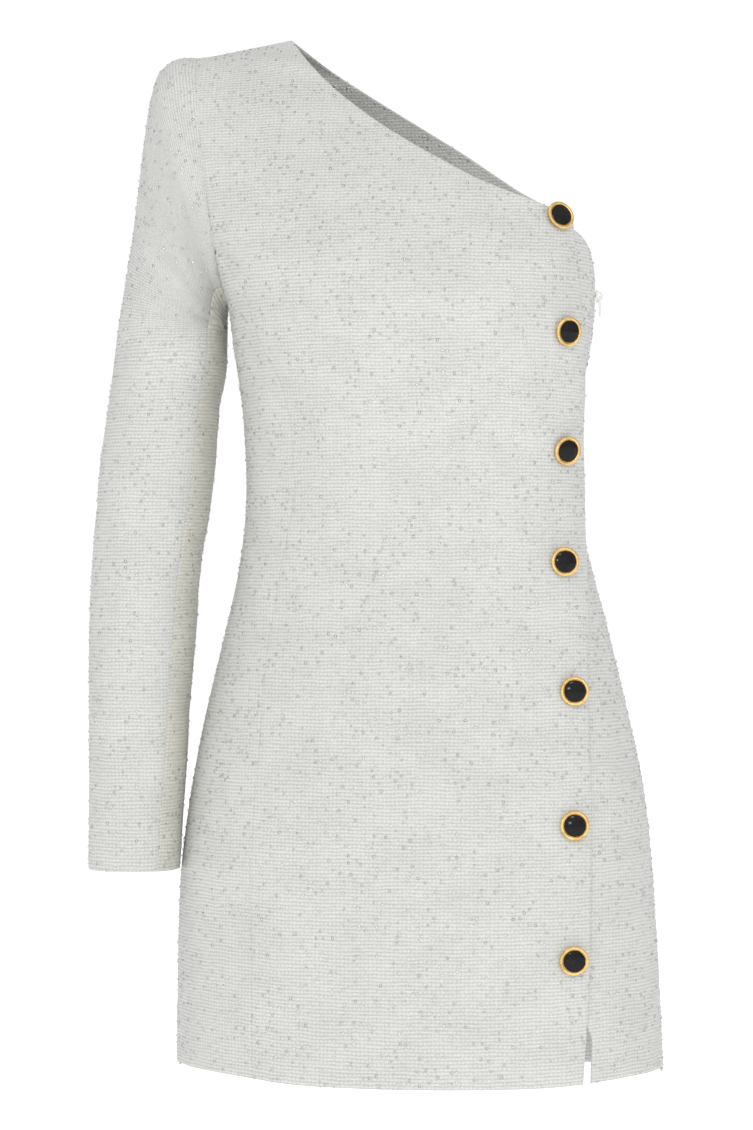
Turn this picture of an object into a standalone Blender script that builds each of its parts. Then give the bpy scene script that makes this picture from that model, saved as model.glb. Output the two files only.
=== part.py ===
"""One-shoulder short dress, hollow and filled out as if worn, with one long two-piece sleeve.

Metres in the scene, millimetres in the tables. +Z is up, +X is the wearer's left and the
front faces -Y. The origin lies under the wearer's right shoulder, where the dress is held.
"""
import math

import bmesh
import bpy
import numpy as np
from mathutils import Matrix, Vector

# Driving sizes in millimetres; heights are measured up from the front hem
MM = 0.001
WALL = 2.0
SEAM_GAP = 0.3
OVERLAP_FLAT = 14.0
OVERLAP_BLEND = 38.0
HOLD_POINT = (-142.0, 15.0, 837.0)
BACK_HEM_DROP = 15.0
HEM_DROP_FADE = 300.0
LIFT_TOP = 705.0
SHOULDER_DROP = 14.5
SHOULDER_DROP_START = 740.0
SHOULDER_NECK_X = -103.0
SHOULDER_LENGTH = 78.0
SHOULDER_LEVEL = 846.5
ROUNDNESS_FRONT_RIGHT = 2.2
ROUNDNESS_BACK = 2.2
RING_STEPS = 48

# Body sections: ring place, half widths to each side, two depths and how square the left front is
HEM_COLUMNS = ("share", "lift")
HEM_ROWS = ((0.0, 3.0), (0.07, 7.0), (0.14, 7.0), (0.24, 4.0), (0.34, 1.0), (0.5, 0.0), (0.66, 1.0),
            (0.8, 6.0), (0.92, 7.0), (1.0, 1.0))
BODY_COLUMNS = ("height", "middle", "left", "right", "front", "back", "shift", "corner")
BODY_ROWS = (
    (0.0, 5.6, 198.0, 200.5, 130.0, 129.0, 0.0, 2.7),
    (87.0, 4.0, 196.0, 198.5, 129.0, 128.0, 0.0, 2.7),
    (166.0, 2.6, 192.4, 194.0, 126.0, 126.0, 0.0, 2.7),
    (223.0, 3.0, 186.3, 187.0, 122.0, 124.0, 0.0, 2.7),
    (295.0, 2.0, 172.5, 172.5, 114.0, 118.0, 2.0, 2.7),
    (335.0, 2.0, 163.0, 163.0, 109.0, 112.0, 3.0, 2.8),
    (370.0, 1.8, 154.5, 154.5, 104.0, 104.0, 4.0, 3.0),
    (400.0, 1.0, 147.0, 147.0, 100.0, 97.0, 4.0, 3.2),
    (441.0, 0.0, 138.5, 140.0, 96.0, 89.0, 3.0, 3.5),
    (477.0, -0.3, 135.5, 137.8, 95.0, 86.0, 2.0, 3.7),
    (519.0, -0.8, 136.0, 138.8, 101.0, 87.0, 1.0, 3.6),
    (555.0, -1.2, 139.8, 141.6, 111.0, 90.0, 0.0, 3.4),
    (587.0, -1.5, 146.0, 146.0, 120.0, 93.0, 0.0, 3.0),
    (620.0, -1.9, 150.0, 150.0, 124.0, 96.0, 0.0, 2.8),
    (650.0, -2.0, 151.0, 162.0, 121.0, 98.0, 0.0, 2.6),
    (700.0, -2.0, 150.0, 188.0, 104.0, 97.0, 4.0, 2.4),
    (740.0, -2.0, 156.0, 207.0, 84.0, 90.0, 8.0, 2.3),
    (770.0, -2.0, 162.0, 220.0, 67.0, 79.0, 11.0, 2.2),
    (795.0, -2.0, 168.0, 229.0, 52.0, 65.0, 13.0, 2.2),
    (815.0, -2.0, 172.0, 236.0, 38.0, 49.0, 14.0, 2.2),
    (832.0, -2.0, 175.0, 239.0, 25.0, 33.0, 15.0, 2.2),
    (841.5, -2.0, 178.0, 240.0, 13.0, 18.0, 15.0, 2.2),
    (846.5, -2.0, 180.0, 240.0, 0.2, 0.2, 15.0, 2.2),
)

# Seams of the front, as distances round the cloth from the two side seams
SEAM_COLUMNS = ("height", "overlap_from_left", "princess_from_right", "stand_off")
SEAM_ROWS = (
    (0.0, 134.0, 139.0, 3.0),
    (51.0, 128.0, 138.0, 3.0),
    (88.0, 124.0, 137.0, 3.0),
    (207.0, 110.5, 126.0, 3.0),
    (309.0, 85.0, 108.0, 3.0),
    (350.0, 73.0, 96.0, 3.4),
    (414.0, 49.0, 90.0, 5.0),
    (477.0, 29.0, 94.0, 7.0),
    (547.0, 38.0, 98.0, 6.0),
    (600.0, 61.0, 84.0, 3.6),
    (630.0, 69.0, 74.0, 3.0),
    (692.0, 68.0, 60.0, 3.0),
)
TUCK_COLUMNS = ("height", "under_the_overlap")
TUCK_ROWS = ((0.0, -8.0), (36.0, -6.0), (58.0, 5.0), (85.0, 12.0), (692.0, 12.0))

# Neck edges, from the wearer's left armhole to the neck point
NECK_COLUMNS = ("from_left", "level")
FRONT_NECK = ((67.5, 689.0), (74.0, 692.0), (88.5, 697.0), (115.5, 709.0), (141.0, 720.0),
              (153.5, 728.0), (179.0, 744.0), (199.5, 760.0), (217.5, 774.0), (236.5, 790.5),
              (255.0, 809.0), (264.5, 822.5), (274.0, 836.5), (281.0, 846.5))
BACK_NECK = ((0.0, 637.0), (17.0, 652.0), (36.5, 670.0), (60.0, 691.0), (89.5, 712.0),
             (122.5, 730.0), (166.5, 761.0), (208.0, 788.0), (233.0, 805.5), (255.0, 822.5),
             (275.5, 839.0), (281.0, 846.5))
LEFT_SEAM_TOP = 637.0
LEFT_ARMHOLE_BOW = 9.0

# Armhole of the sleeve: a tilted oval from the shoulder point down to the underarm
UNDERARM = (-152.4, 2.0, 625.0)
SHOULDER_POINT = (-180.0, 15.0, 832.0)
ARMHOLE_HALF_DEPTH = 64.0

# Sleeve cap: outer end of each tilted ring and the ring's front and back reach
CAP_COLUMNS = ("x", "height", "front", "back")
CAP_ROWS = (
    (-195.0, 831.5, 66.0, 64.0),
    (-205.0, 826.5, 67.0, 64.0),
    (-213.5, 816.0, 67.0, 64.0),
    (-219.5, 792.0, 66.0, 63.0),
    (-224.0, 762.0, 64.0, 61.0),
    (-229.0, 722.0, 61.0, 59.0),
    (-234.0, 683.0, 59.0, 57.0),
    (-239.5, 648.0, 58.0, 56.0),
)

# Arm below the underarm: level rings
ARM_COLUMNS = ("height", "middle", "half_width", "forward", "half_depth")
ARM_ROWS = (
    (605.0, -201.2, 44.6, -8.0, 57.0),
    (572.0, -203.6, 46.0, -7.0, 57.0),
    (542.0, -207.9, 45.6, -5.0, 56.5),
    (499.0, -212.1, 46.8, -1.0, 56.0),
    (456.0, -215.8, 46.2, 4.0, 54.0),
    (407.0, -220.3, 44.4, 10.0, 51.0),
    (359.0, -222.2, 43.4, 16.0, 49.0),
    (308.0, -223.6, 41.4, 22.0, 47.0),
    (251.0, -224.0, 39.6, 29.0, 44.5),
    (214.0, -224.6, 38.2, 34.0, 43.0),
    (165.0, -225.2, 37.0, 41.0, 41.5),
)
FRONT_SEAM_ANGLE = (150.0, 130.0)
BACK_SEAM_ANGLE = (-150.0, -140.0)
SLEEVE_SEAM_TRIM = 0.2
TOP_SLEEVE_COLUMNS = 22
UNDER_SLEEVE_COLUMNS = 6
PRINCESS_TOP_STEP = 2

LOWER_LEVELS = (0.0, 18.0, 36.0, 51.0, 88.0, 127.0, 166.0, 205.0, 245.0, 290.0, 335.0, 370.0,
                405.0, 441.0, 477.0, 519.0, 555.0, 587.0, 606.0)

# Buttons, from top to bottom: place on the front panel and the turn away from the cloth
BUTTON_COLUMNS = ("from_edge", "level", "turn_in", "lean_down")
BUTTON_ROWS = (
    (13.7, 688.0, 8.0, 0.0),
    (27.0, 597.5, 16.0, 0.0),
    (37.0, 504.0, 26.0, 8.0),
    (30.0, 414.0, 22.0, 6.0),
    (14.5, 311.5, 18.0, 8.0),
    (15.0, 206.0, 12.0, 2.0),
    (14.5, 100.0, 10.0, 8.0),
)
BUTTON_RADIUS = 11.7
INSET_RADIUS = 8.7
SHANK_RADIUS = 3.0
SHANK_LENGTH = 1.6
CUP_RADIUS = 9.4
BUTTON_SEAT = 0.45
BUTTON_SIDES = 20

# Concealed zip: slider on the wearer's left side seam and its hanging pull tab
ZIP_LEVEL = 631.0
SLIDER_SIZE = (1.5, 5.0, 10.0)
SLIDER_STAND = 0.45
BAIL_INNER = 2.9
BAIL_WIDTH = 1.5
BAIL_ROOT = 0.4
BAIL_THICKNESS = 1.4
PIN_HEIGHT = 1.6
PULL_HALF_THICKNESS = 0.6
PULL_RAIL_INNER = 1.3
# Height from the pin's axis and half width of the tab
PULL_ROWS = ((0.6, 2.3), (-0.6, 2.4), (-5.1, 2.5), (-8.0, 2.9), (-11.5, 3.2), (-14.0, 2.8),
             (-15.6, 1.9), (-16.3, 0.9))


def clear_scene():
    """Remove whatever the open file holds."""
    for item in list(bpy.data.objects):
        bpy.data.objects.remove(item, do_unlink=True)


def smooth_column(rows, columns, name, at):
    """Read one column of a table at a place between its rows, along a smooth monotone curve."""
    order = columns.index(name)
    places = [row[0] for row in rows]
    values = [row[order] for row in rows]
    if at <= places[0]:
        return values[0]
    if at >= places[-1]:
        return values[-1]
    k = max(i for i, place in enumerate(places) if place <= at)
    steps = [places[i + 1] - places[i] for i in range(len(places) - 1)]
    slopes = [(values[i + 1] - values[i]) / steps[i] for i in range(len(steps))]

    def tangent(i):
        if i == 0:
            return slopes[0]
        if i == len(places) - 1:
            return slopes[-1]
        if slopes[i - 1] * slopes[i] <= 0:
            return 0.0
        return 2 * slopes[i - 1] * slopes[i] / (slopes[i - 1] + slopes[i])

    t = (at - places[k]) / steps[k]
    rise = values[k] * (1 + 2 * t) * (1 - t) ** 2 + values[k + 1] * t * t * (3 - 2 * t)
    bend = tangent(k) * t * (1 - t) ** 2 - tangent(k + 1) * t * t * (1 - t)
    return rise + steps[k] * bend


def body_value(name, level):
    return smooth_column(BODY_ROWS, BODY_COLUMNS, name, level)


def seam_value(name, level):
    return smooth_column(SEAM_ROWS, SEAM_COLUMNS, name, level)


ring_store = {}


def body_ring(side, level):
    """Points of the front or back half ring at a level, wearer's left to right, with lengths."""
    key = (side, round(level, 4))
    if key in ring_store:
        return ring_store[key]
    middle = body_value("middle", level)
    shift = body_value("shift", level)
    depth = -body_value("front", level) if side == "front" else body_value("back", level)
    points = []
    for i in range(2 * RING_STEPS + 1):
        angle = math.pi * i / (2 * RING_STEPS)
        on_left = i <= RING_STEPS
        reach = body_value("left" if on_left else "right", level)
        power = ROUNDNESS_BACK
        if side == "front":
            power = body_value("corner", level) if on_left else ROUNDNESS_FRONT_RIGHT
        across = abs(math.cos(angle)) ** (2 / power) * reach * (1 if on_left else -1)
        out = math.sin(angle) ** (2 / power) * depth
        points.append((middle + across, shift + out))
    points = np.array(points)
    lengths = np.concatenate(([0.0], np.cumsum(np.hypot(*np.diff(points, axis=0).T))))
    ring_store[key] = (points, lengths)
    return points, lengths


def girth(side, level):
    return body_ring(side, level)[1][-1]


def shoulder_drop(x, level):
    """How far the shoulder slopes down towards the arm at this place."""
    fade = max(0.0, (level - SHOULDER_DROP_START) / (SHOULDER_LEVEL - SHOULDER_DROP_START))
    along = min(1.0, max(0.0, (SHOULDER_NECK_X - x) / SHOULDER_LENGTH))
    return SHOULDER_DROP * fade * fade * along


def body_point(side, share, level):
    """Point of the outer cloth: share runs from the wearer's left side seam to the right one."""
    points, lengths = body_ring(side, level)
    at = share * lengths[-1]
    x = np.interp(at, lengths, points[:, 0])
    y = np.interp(at, lengths, points[:, 1])
    height = level - shoulder_drop(x, level)
    if side == "back" and level < HEM_DROP_FADE:
        fade = (1 - level / HEM_DROP_FADE) ** 2
        height -= BACK_HEM_DROP * fade * math.sin(math.pi * min(1.0, max(0.0, share))) ** 2
    if side == "front" and level < HEM_DROP_FADE:
        height += smooth_column(HEM_ROWS, HEM_COLUMNS, "lift", share) * (1 - level / HEM_DROP_FADE) ** 2
    return np.array((x, y, height))


def share_at_x(side, x, level):
    points, lengths = body_ring(side, level)
    return float(np.interp(-x, -points[:, 0], lengths) / lengths[-1])


def body_normal(side, share, level):
    """Outward direction of the cloth."""
    step = 0.01
    low = max(0.0, share - step)
    high = min(1.0, share + step)
    across = body_point(side, high, level) - body_point(side, low, level)
    below = max(0.0, level - 3.0)
    above = min(SHOULDER_LEVEL, level + 3.0)
    up = body_point(side, share, above) - body_point(side, share, below)
    normal = np.cross(up, across) if side == "front" else np.cross(across, up)
    normal = normal / np.linalg.norm(normal)
    if share < 0.002 or share > 0.998:
        normal[1] = 0.0
    if level > SHOULDER_LEVEL - 1.0:
        normal[1] = 0.0
        normal[0] = 0.0
    return normal / np.linalg.norm(normal)


def seam_angles(part, place):
    """First and last angle of a sleeve piece's columns at a place along the sleeve, 0 to 1."""
    front = FRONT_SEAM_ANGLE[0] + (FRONT_SEAM_ANGLE[1] - FRONT_SEAM_ANGLE[0]) * place
    back = BACK_SEAM_ANGLE[0] + (BACK_SEAM_ANGLE[1] - BACK_SEAM_ANGLE[0]) * place
    if part == "top":
        return back, front
    return front, back + 360.0


def column_angles(part, place):
    first, last = seam_angles(part, place)
    count = TOP_SLEEVE_COLUMNS if part == "top" else UNDER_SLEEVE_COLUMNS
    return [first + (last - first) * i / count for i in range(count + 1)]


def tilted_oval(inner, outer, front, back, angle):
    """Point on an oval that spans inner to outer, with its front and back reach."""
    turn = math.radians(angle)
    inner = np.array(inner)
    outer = np.array(outer)
    middle = (inner + outer) / 2
    half = (outer - inner) / 2
    power = 2 / 2.25
    along = math.copysign(abs(math.cos(turn)) ** power, math.cos(turn))
    aside = math.copysign(abs(math.sin(turn)) ** power, math.sin(turn))
    reach = front if aside > 0 else back
    return middle + half * along + np.array((0.0, -reach * aside, 0.0))


def armhole_point(angle):
    return tilted_oval(UNDERARM, SHOULDER_POINT, ARMHOLE_HALF_DEPTH, ARMHOLE_HALF_DEPTH, angle)


def level_for_height(x, height):
    level = height
    for _ in range(4):
        level = min(SHOULDER_LEVEL, height + shoulder_drop(x, level))
    return level


def armhole_end(side, angle):
    """Row end on the armhole: its share, level and the step from the plain surface to the seam."""
    target = armhole_point(angle)
    level = level_for_height(target[0], target[2])
    share = 1.0 if angle == 180.0 else share_at_x(side, target[0], level)
    return share, level, target - body_point(side, share, level)


def end_between(side, first, last, t):
    """Row end on the straight line between two others."""
    share = first[0] + (last[0] - first[0]) * t
    level = first[1] + (last[1] - first[1]) * t
    start = body_point(side, first[0], first[1]) + first[2]
    finish = body_point(side, last[0], last[1]) + last[2]
    return share, level, start + (finish - start) * t - body_point(side, share, level)


def neck_end(side, table, share_along):
    """Row end on a neck edge at a fraction of the edge's length."""
    places = [row[0] for row in table]
    levels = [row[1] for row in table]
    lengths = np.concatenate(([0.0], np.cumsum(np.hypot(np.diff(places), np.diff(levels)))))
    at = share_along * lengths[-1]
    level = float(np.interp(at, lengths, levels))
    return plain_end(float(np.interp(at, lengths, places)) / girth(side, level), level)


def overlap_share(level):
    return seam_value("overlap_from_left", level) / girth("front", level)


def princess_share(level):
    return 1 - seam_value("princess_from_right", level) / girth("front", level)


def tucked_share(level):
    tuck = smooth_column(TUCK_ROWS, TUCK_COLUMNS, "under_the_overlap", level)
    return (seam_value("overlap_from_left", level) + tuck) / girth("front", level)


def plain_end(share, level):
    return share, level, np.zeros(3)


def overlap_rise(share, level):
    """Lift of the front panel near its overlapping edge."""
    beyond = (share - overlap_share(level)) * girth("front", level) - OVERLAP_FLAT
    t = min(1.0, max(0.0, 1 - beyond / OVERLAP_BLEND))
    return seam_value("stand_off", level) * t * t * (3 - 2 * t)


def panel_grid(side, rows, columns, lifted=False, crowding=1.0):
    """Outer points and outward directions of a panel from the two ends of each row."""
    points = []
    normals = []
    for number, (first, last, *bow) in enumerate(rows):
        row_points = []
        row_normals = []
        trim = SEAM_GAP / 2 / girth(side, first[1])
        for i in range(columns + 1):
            t = (i / columns) ** crowding
            share = first[0] + trim + (last[0] - first[0] - 2 * trim) * t
            level = first[1] + (last[1] - first[1]) * t + sum(bow) * math.sin(math.pi * t)
            point = body_point(side, share, level)
            point = point + first[2] * (1 - t) ** 3 + last[2] * t ** 3
            normal = body_normal(side, share, level)
            if lifted and level < LIFT_TOP:
                point = point + normal * overlap_rise(share, level)
            if number == len(rows) - 1 and level > SHOULDER_LEVEL - 1:
                point = point + np.array((0.0, -0.2 if side == "front" else 0.2, 0.0))
            row_points.append(point)
            row_normals.append(normal)
        points.append(row_points)
        normals.append(row_normals)
    return np.array(points), np.array(normals)


def make_material(name, colour, roughness, metallic=0.0):
    material = bpy.data.materials.new(name)
    material.use_nodes = True
    shader = material.node_tree.nodes["Principled BSDF"]
    shader.inputs["Base Color"].default_value = (*colour, 1.0)
    shader.inputs["Roughness"].default_value = roughness
    shader.inputs["Metallic"].default_value = metallic
    return material


def to_part(point):
    return Vector([(point[i] - HOLD_POINT[i]) * MM for i in range(3)])


def finish_mesh(name, mesh_data, material, location=(0, 0, 0), parent=None):
    bmesh.ops.recalc_face_normals(mesh_data, faces=mesh_data.faces)
    mesh = bpy.data.meshes.new(name)
    mesh_data.to_mesh(mesh)
    mesh_data.free()
    mesh.shade_smooth()
    mesh.set_sharp_from_angle(angle=math.radians(45))
    mesh.materials.append(material)
    item = bpy.data.objects.new(name, mesh)
    item.location = location
    item.parent = parent
    bpy.context.scene.collection.objects.link(item)
    return item


def cloth_wall(name, points, normals, material):
    """Closed wall: the outer grid, the same grid moved in by the wall, and the rims."""
    data = bmesh.new()
    rows, columns = points.shape[:2]
    outer = [[data.verts.new(to_part(points[r][c])) for c in range(columns)] for r in range(rows)]
    inside = points - normals * WALL
    inner = [[data.verts.new(to_part(inside[r][c])) for c in range(columns)] for r in range(rows)]
    for r in range(rows - 1):
        for c in range(columns - 1):
            data.faces.new((outer[r][c], outer[r][c + 1], outer[r + 1][c + 1], outer[r + 1][c]))
            data.faces.new((inner[r][c], inner[r + 1][c], inner[r + 1][c + 1], inner[r][c + 1]))
    border = [(0, c) for c in range(columns)]
    border += [(r, columns - 1) for r in range(1, rows)]
    border += [(rows - 1, c) for c in range(columns - 2, -1, -1)]
    border += [(r, 0) for r in range(rows - 2, 0, -1)]
    for (r0, c0), (r1, c1) in zip(border, border[1:] + border[:1]):
        data.faces.new((outer[r0][c0], outer[r1][c1], inner[r1][c1], inner[r0][c0]))
    return finish_mesh(name, data, material)


def princess_climb():
    """Ends along the princess seam above the level rows, up to where it meets the armhole."""
    angles = [angle for angle in column_angles("under", 0.0) if angle <= 180.1]
    count = len(angles) + PRINCESS_TOP_STEP - 1
    join = armhole_end("front", column_angles("top", 0.0)[-1 - PRINCESS_TOP_STEP])
    start = LOWER_LEVELS[-1]
    ends = []
    for i in range(1, count + 1):
        t = i / (count + 1)
        level = start + (join[1] - start) * t
        share = princess_share(start) + (join[0] - princess_share(start)) * t ** 1.6
        ends.append((share, level, join[2] * t * t))
    return ends, join


def front_panel_rows():
    rows = [(plain_end(overlap_share(z), z), plain_end(princess_share(z), z)) for z in LOWER_LEVELS]
    climb, _ = princess_climb()
    angles = column_angles("top", 0.0)[::-1]
    middle = TOP_SLEEVE_COLUMNS // 2
    armhole = [armhole_end("front", angle) for angle in angles[PRINCESS_TOP_STEP:middle + 1]]
    lefts = climb + armhole
    edge_count = len(climb)
    top = FRONT_NECK[0][1]
    start = LOWER_LEVELS[-1]
    levels = [start + (top - start) * i / edge_count for i in range(1, edge_count)]
    rights = [plain_end(overlap_share(z), z) for z in levels]
    rest = len(lefts) - len(rights)
    rights += [neck_end("front", FRONT_NECK, i / (rest - 1)) for i in range(rest)]
    return rows + list(zip(rights, lefts))


def side_right_rows():
    rows = [(plain_end(princess_share(z), z), plain_end(1.0, z)) for z in LOWER_LEVELS]
    climb, join = princess_climb()
    angles = [angle for angle in column_angles("under", 0.0)[::-1] if angle <= 180.1]
    angles += column_angles("top", 0.0)[::-1][1:PRINCESS_TOP_STEP]
    lasts = [armhole_end("front", angle) for angle in angles]
    rows += list(zip(climb, lasts))
    near = end_between("front", climb[-1], join, 0.7)
    far = end_between("front", lasts[-1], join, 0.7)
    return rows + [(near, far)]


def side_left_rows():
    rows = [(plain_end(0.0, z), plain_end(tucked_share(z), z)) for z in LOWER_LEVELS]
    start = LOWER_LEVELS[-1]
    steps = 5
    for i in range(1, steps + 1):
        low = start + (LEFT_SEAM_TOP - start) * i / steps
        high = start + (FRONT_NECK[0][1] - 3.0 - start) * i / steps
        bow = LEFT_ARMHOLE_BOW * (i / steps) ** 2
        rows.append((plain_end(0.0, low), plain_end(tucked_share(high), high), bow))
    return rows


def back_rows():
    rows = [(plain_end(0.0, z), plain_end(1.0, z)) for z in LOWER_LEVELS]
    angles = [angle for angle in column_angles("under", 0.0) if angle > 179.9]
    angles += [angle + 360 for angle in column_angles("top", 0.0)[1:TOP_SLEEVE_COLUMNS // 2 + 1]]
    lasts = [armhole_end("back", angle) for angle in angles]
    start = LOWER_LEVELS[-1]
    firsts = [plain_end(0.0, start + (LEFT_SEAM_TOP - start) * t) for t in (0.4, 0.75)]
    rest = len(lasts) - len(firsts)
    firsts += [neck_end("back", BACK_NECK, i / (rest - 1)) for i in range(rest)]
    return rows + list(zip(firsts, lasts))


def sleeve_ring(number, angle):
    """Point of the sleeve's outer cloth on a numbered ring: the armhole, the cap, then the arm."""
    first_arm = dict(zip(ARM_COLUMNS, ARM_ROWS[0]))
    if number == 0:
        away = np.array((-1.3, 0.0, -0.2)) * SEAM_GAP
        return armhole_point(angle) + away
    if number <= len(CAP_ROWS):
        row = dict(zip(CAP_COLUMNS, CAP_ROWS[number - 1]))
        t = number / (len(CAP_ROWS) + 1)
        low = (first_arm["middle"] + first_arm["half_width"], -first_arm["forward"], first_arm["height"])
        paths = (1 - (1 - t) ** 4, t, t ** 1.6)
        inner = [UNDERARM[i] + (low[i] - UNDERARM[i]) * paths[i] for i in range(3)]
        outer = np.array((row["x"], SHOULDER_POINT[1] - 4.0 * t, row["height"]))
        return tilted_oval(inner, outer, row["front"], row["back"], angle)
    row = dict(zip(ARM_COLUMNS, ARM_ROWS[number - len(CAP_ROWS) - 1]))
    inner = (row["middle"] + row["half_width"], -row["forward"], row["height"])
    outer = (row["middle"] - row["half_width"], -row["forward"], row["height"])
    return tilted_oval(inner, outer, row["half_depth"], row["half_depth"], angle)


def sleeve_grid(part):
    count = len(CAP_ROWS) + len(ARM_ROWS)
    points = []
    normals = []
    for number in range(count + 1):
        angles = column_angles(part, number / count)
        angles[0] += SLEEVE_SEAM_TRIM
        angles[-1] -= SLEEVE_SEAM_TRIM
        below = min(count, number + 1)
        above = max(0, number - 1)
        row_points = []
        row_normals = []
        for angle in angles:
            along = sleeve_ring(below, angle) - sleeve_ring(above, angle)
            across = sleeve_ring(number, angle + 4.0) - sleeve_ring(number, angle - 4.0)
            normal = np.cross(along, across)
            row_points.append(sleeve_ring(number, angle))
            row_normals.append(normal / np.linalg.norm(normal))
        points.append(row_points)
        normals.append(row_normals)
    return np.array(points), np.array(normals)


def turned_piece(name, profile, sides, matrix, material):
    """Closed turned solid from a profile of radius and height, axis to axis."""
    data = bmesh.new()
    rings = []
    for radius, height in profile:
        if radius == 0.0:
            rings.append([data.verts.new(matrix @ Vector((0.0, 0.0, height * MM)))])
            continue
        ring = []
        for i in range(sides):
            turn = 2 * math.pi * i / sides
            place = (radius * math.cos(turn) * MM, radius * math.sin(turn) * MM, height * MM)
            ring.append(data.verts.new(matrix @ Vector(place)))
        rings.append(ring)
    for low, high in zip(rings, rings[1:]):
        for i in range(sides):
            corners = [low[i % len(low)], low[(i + 1) % len(low)]]
            corners += [high[(i + 1) % len(high)], high[i % len(high)]]
            data.faces.new(list(dict.fromkeys(corners)))
    return finish_mesh(name, data, material)


def button_back_height(radius):
    """Height of the button's back at a radius: the flat shank, then the rising cup."""
    if radius <= SHANK_RADIUS:
        return 0.0
    if radius <= CUP_RADIUS:
        return SHANK_LENGTH
    return SHANK_LENGTH + (radius - CUP_RADIUS) * 0.8


def button_frame(row):
    """Where a button sits: clear of the cloth by the seat all round, facing along the cloth."""
    level = row["level"]
    share = overlap_share(level) + row["from_edge"] / girth("front", level)
    point = body_point("front", share, level)
    normal = body_normal("front", share, level)
    point = point + normal * overlap_rise(share, level)
    axis = Vector(normal)
    axis.rotate(Matrix.Rotation(math.radians(-row["turn_in"]), 3, "Z"))
    side = axis.cross(Vector((0, 0, 1))).normalized()
    axis.rotate(Matrix.Rotation(math.radians(-row["lean_down"]), 3, side))
    side = axis.cross(Vector((0, 0, 1))).normalized()
    up = side.cross(axis)
    reach = BUTTON_RADIUS / girth("front", level)
    lift = 0.0
    for i in range(-6, 7):
        for j in range(-6, 7):
            near_share = share + reach * i / 6
            near_level = level + BUTTON_RADIUS * j / 6
            rise = body_normal("front", near_share, near_level) * overlap_rise(near_share, near_level)
            near = body_point("front", near_share, near_level) + rise
            gap = Vector(near - point)
            height = gap.dot(axis)
            radius = (gap - axis * height).length
            if radius <= BUTTON_RADIUS:
                lift = max(lift, height - button_back_height(radius))
    centre = to_part(point) + axis * (lift + BUTTON_SEAT) * MM
    frame = Matrix((side, up, axis)).transposed().to_4x4()
    return Matrix.Translation(centre) @ frame


def build_buttons(gold, black):
    top = SHANK_LENGTH
    rim = ((0.0, 0.0), (SHANK_RADIUS, 0.0), (SHANK_RADIUS, top), (CUP_RADIUS, top),
           (BUTTON_RADIUS - 0.5, top + 0.9), (BUTTON_RADIUS, top + 1.9), (BUTTON_RADIUS - 0.5, top + 2.9),
           (BUTTON_RADIUS - 1.5, top + 3.3), (INSET_RADIUS + 0.3, top + 2.9),
           (INSET_RADIUS + 0.3, top + 1.0), (0.0, top + 1.0))
    inset = ((0.0, top + 1.3), (INSET_RADIUS, top + 1.3), (INSET_RADIUS, top + 2.6),
             (INSET_RADIUS * 0.8, top + 3.5), (INSET_RADIUS * 0.45, top + 4.1), (0.0, top + 4.3))
    for number, values in enumerate(BUTTON_ROWS, 1):
        frame = button_frame(dict(zip(BUTTON_COLUMNS, values)))
        turned_piece(f"button_{number}_rim", rim, BUTTON_SIDES, frame, gold)
        turned_piece(f"button_{number}_inset", inset, BUTTON_SIDES, frame, black)


def box_mesh(low, high):
    data = bmesh.new()
    bmesh.ops.create_cube(data, size=1.0)
    for vert in data.verts:
        vert.co = Vector([(low[i] + high[i]) / 2 + vert.co[i] * (high[i] - low[i]) for i in range(3)]) * MM
    return data


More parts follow.
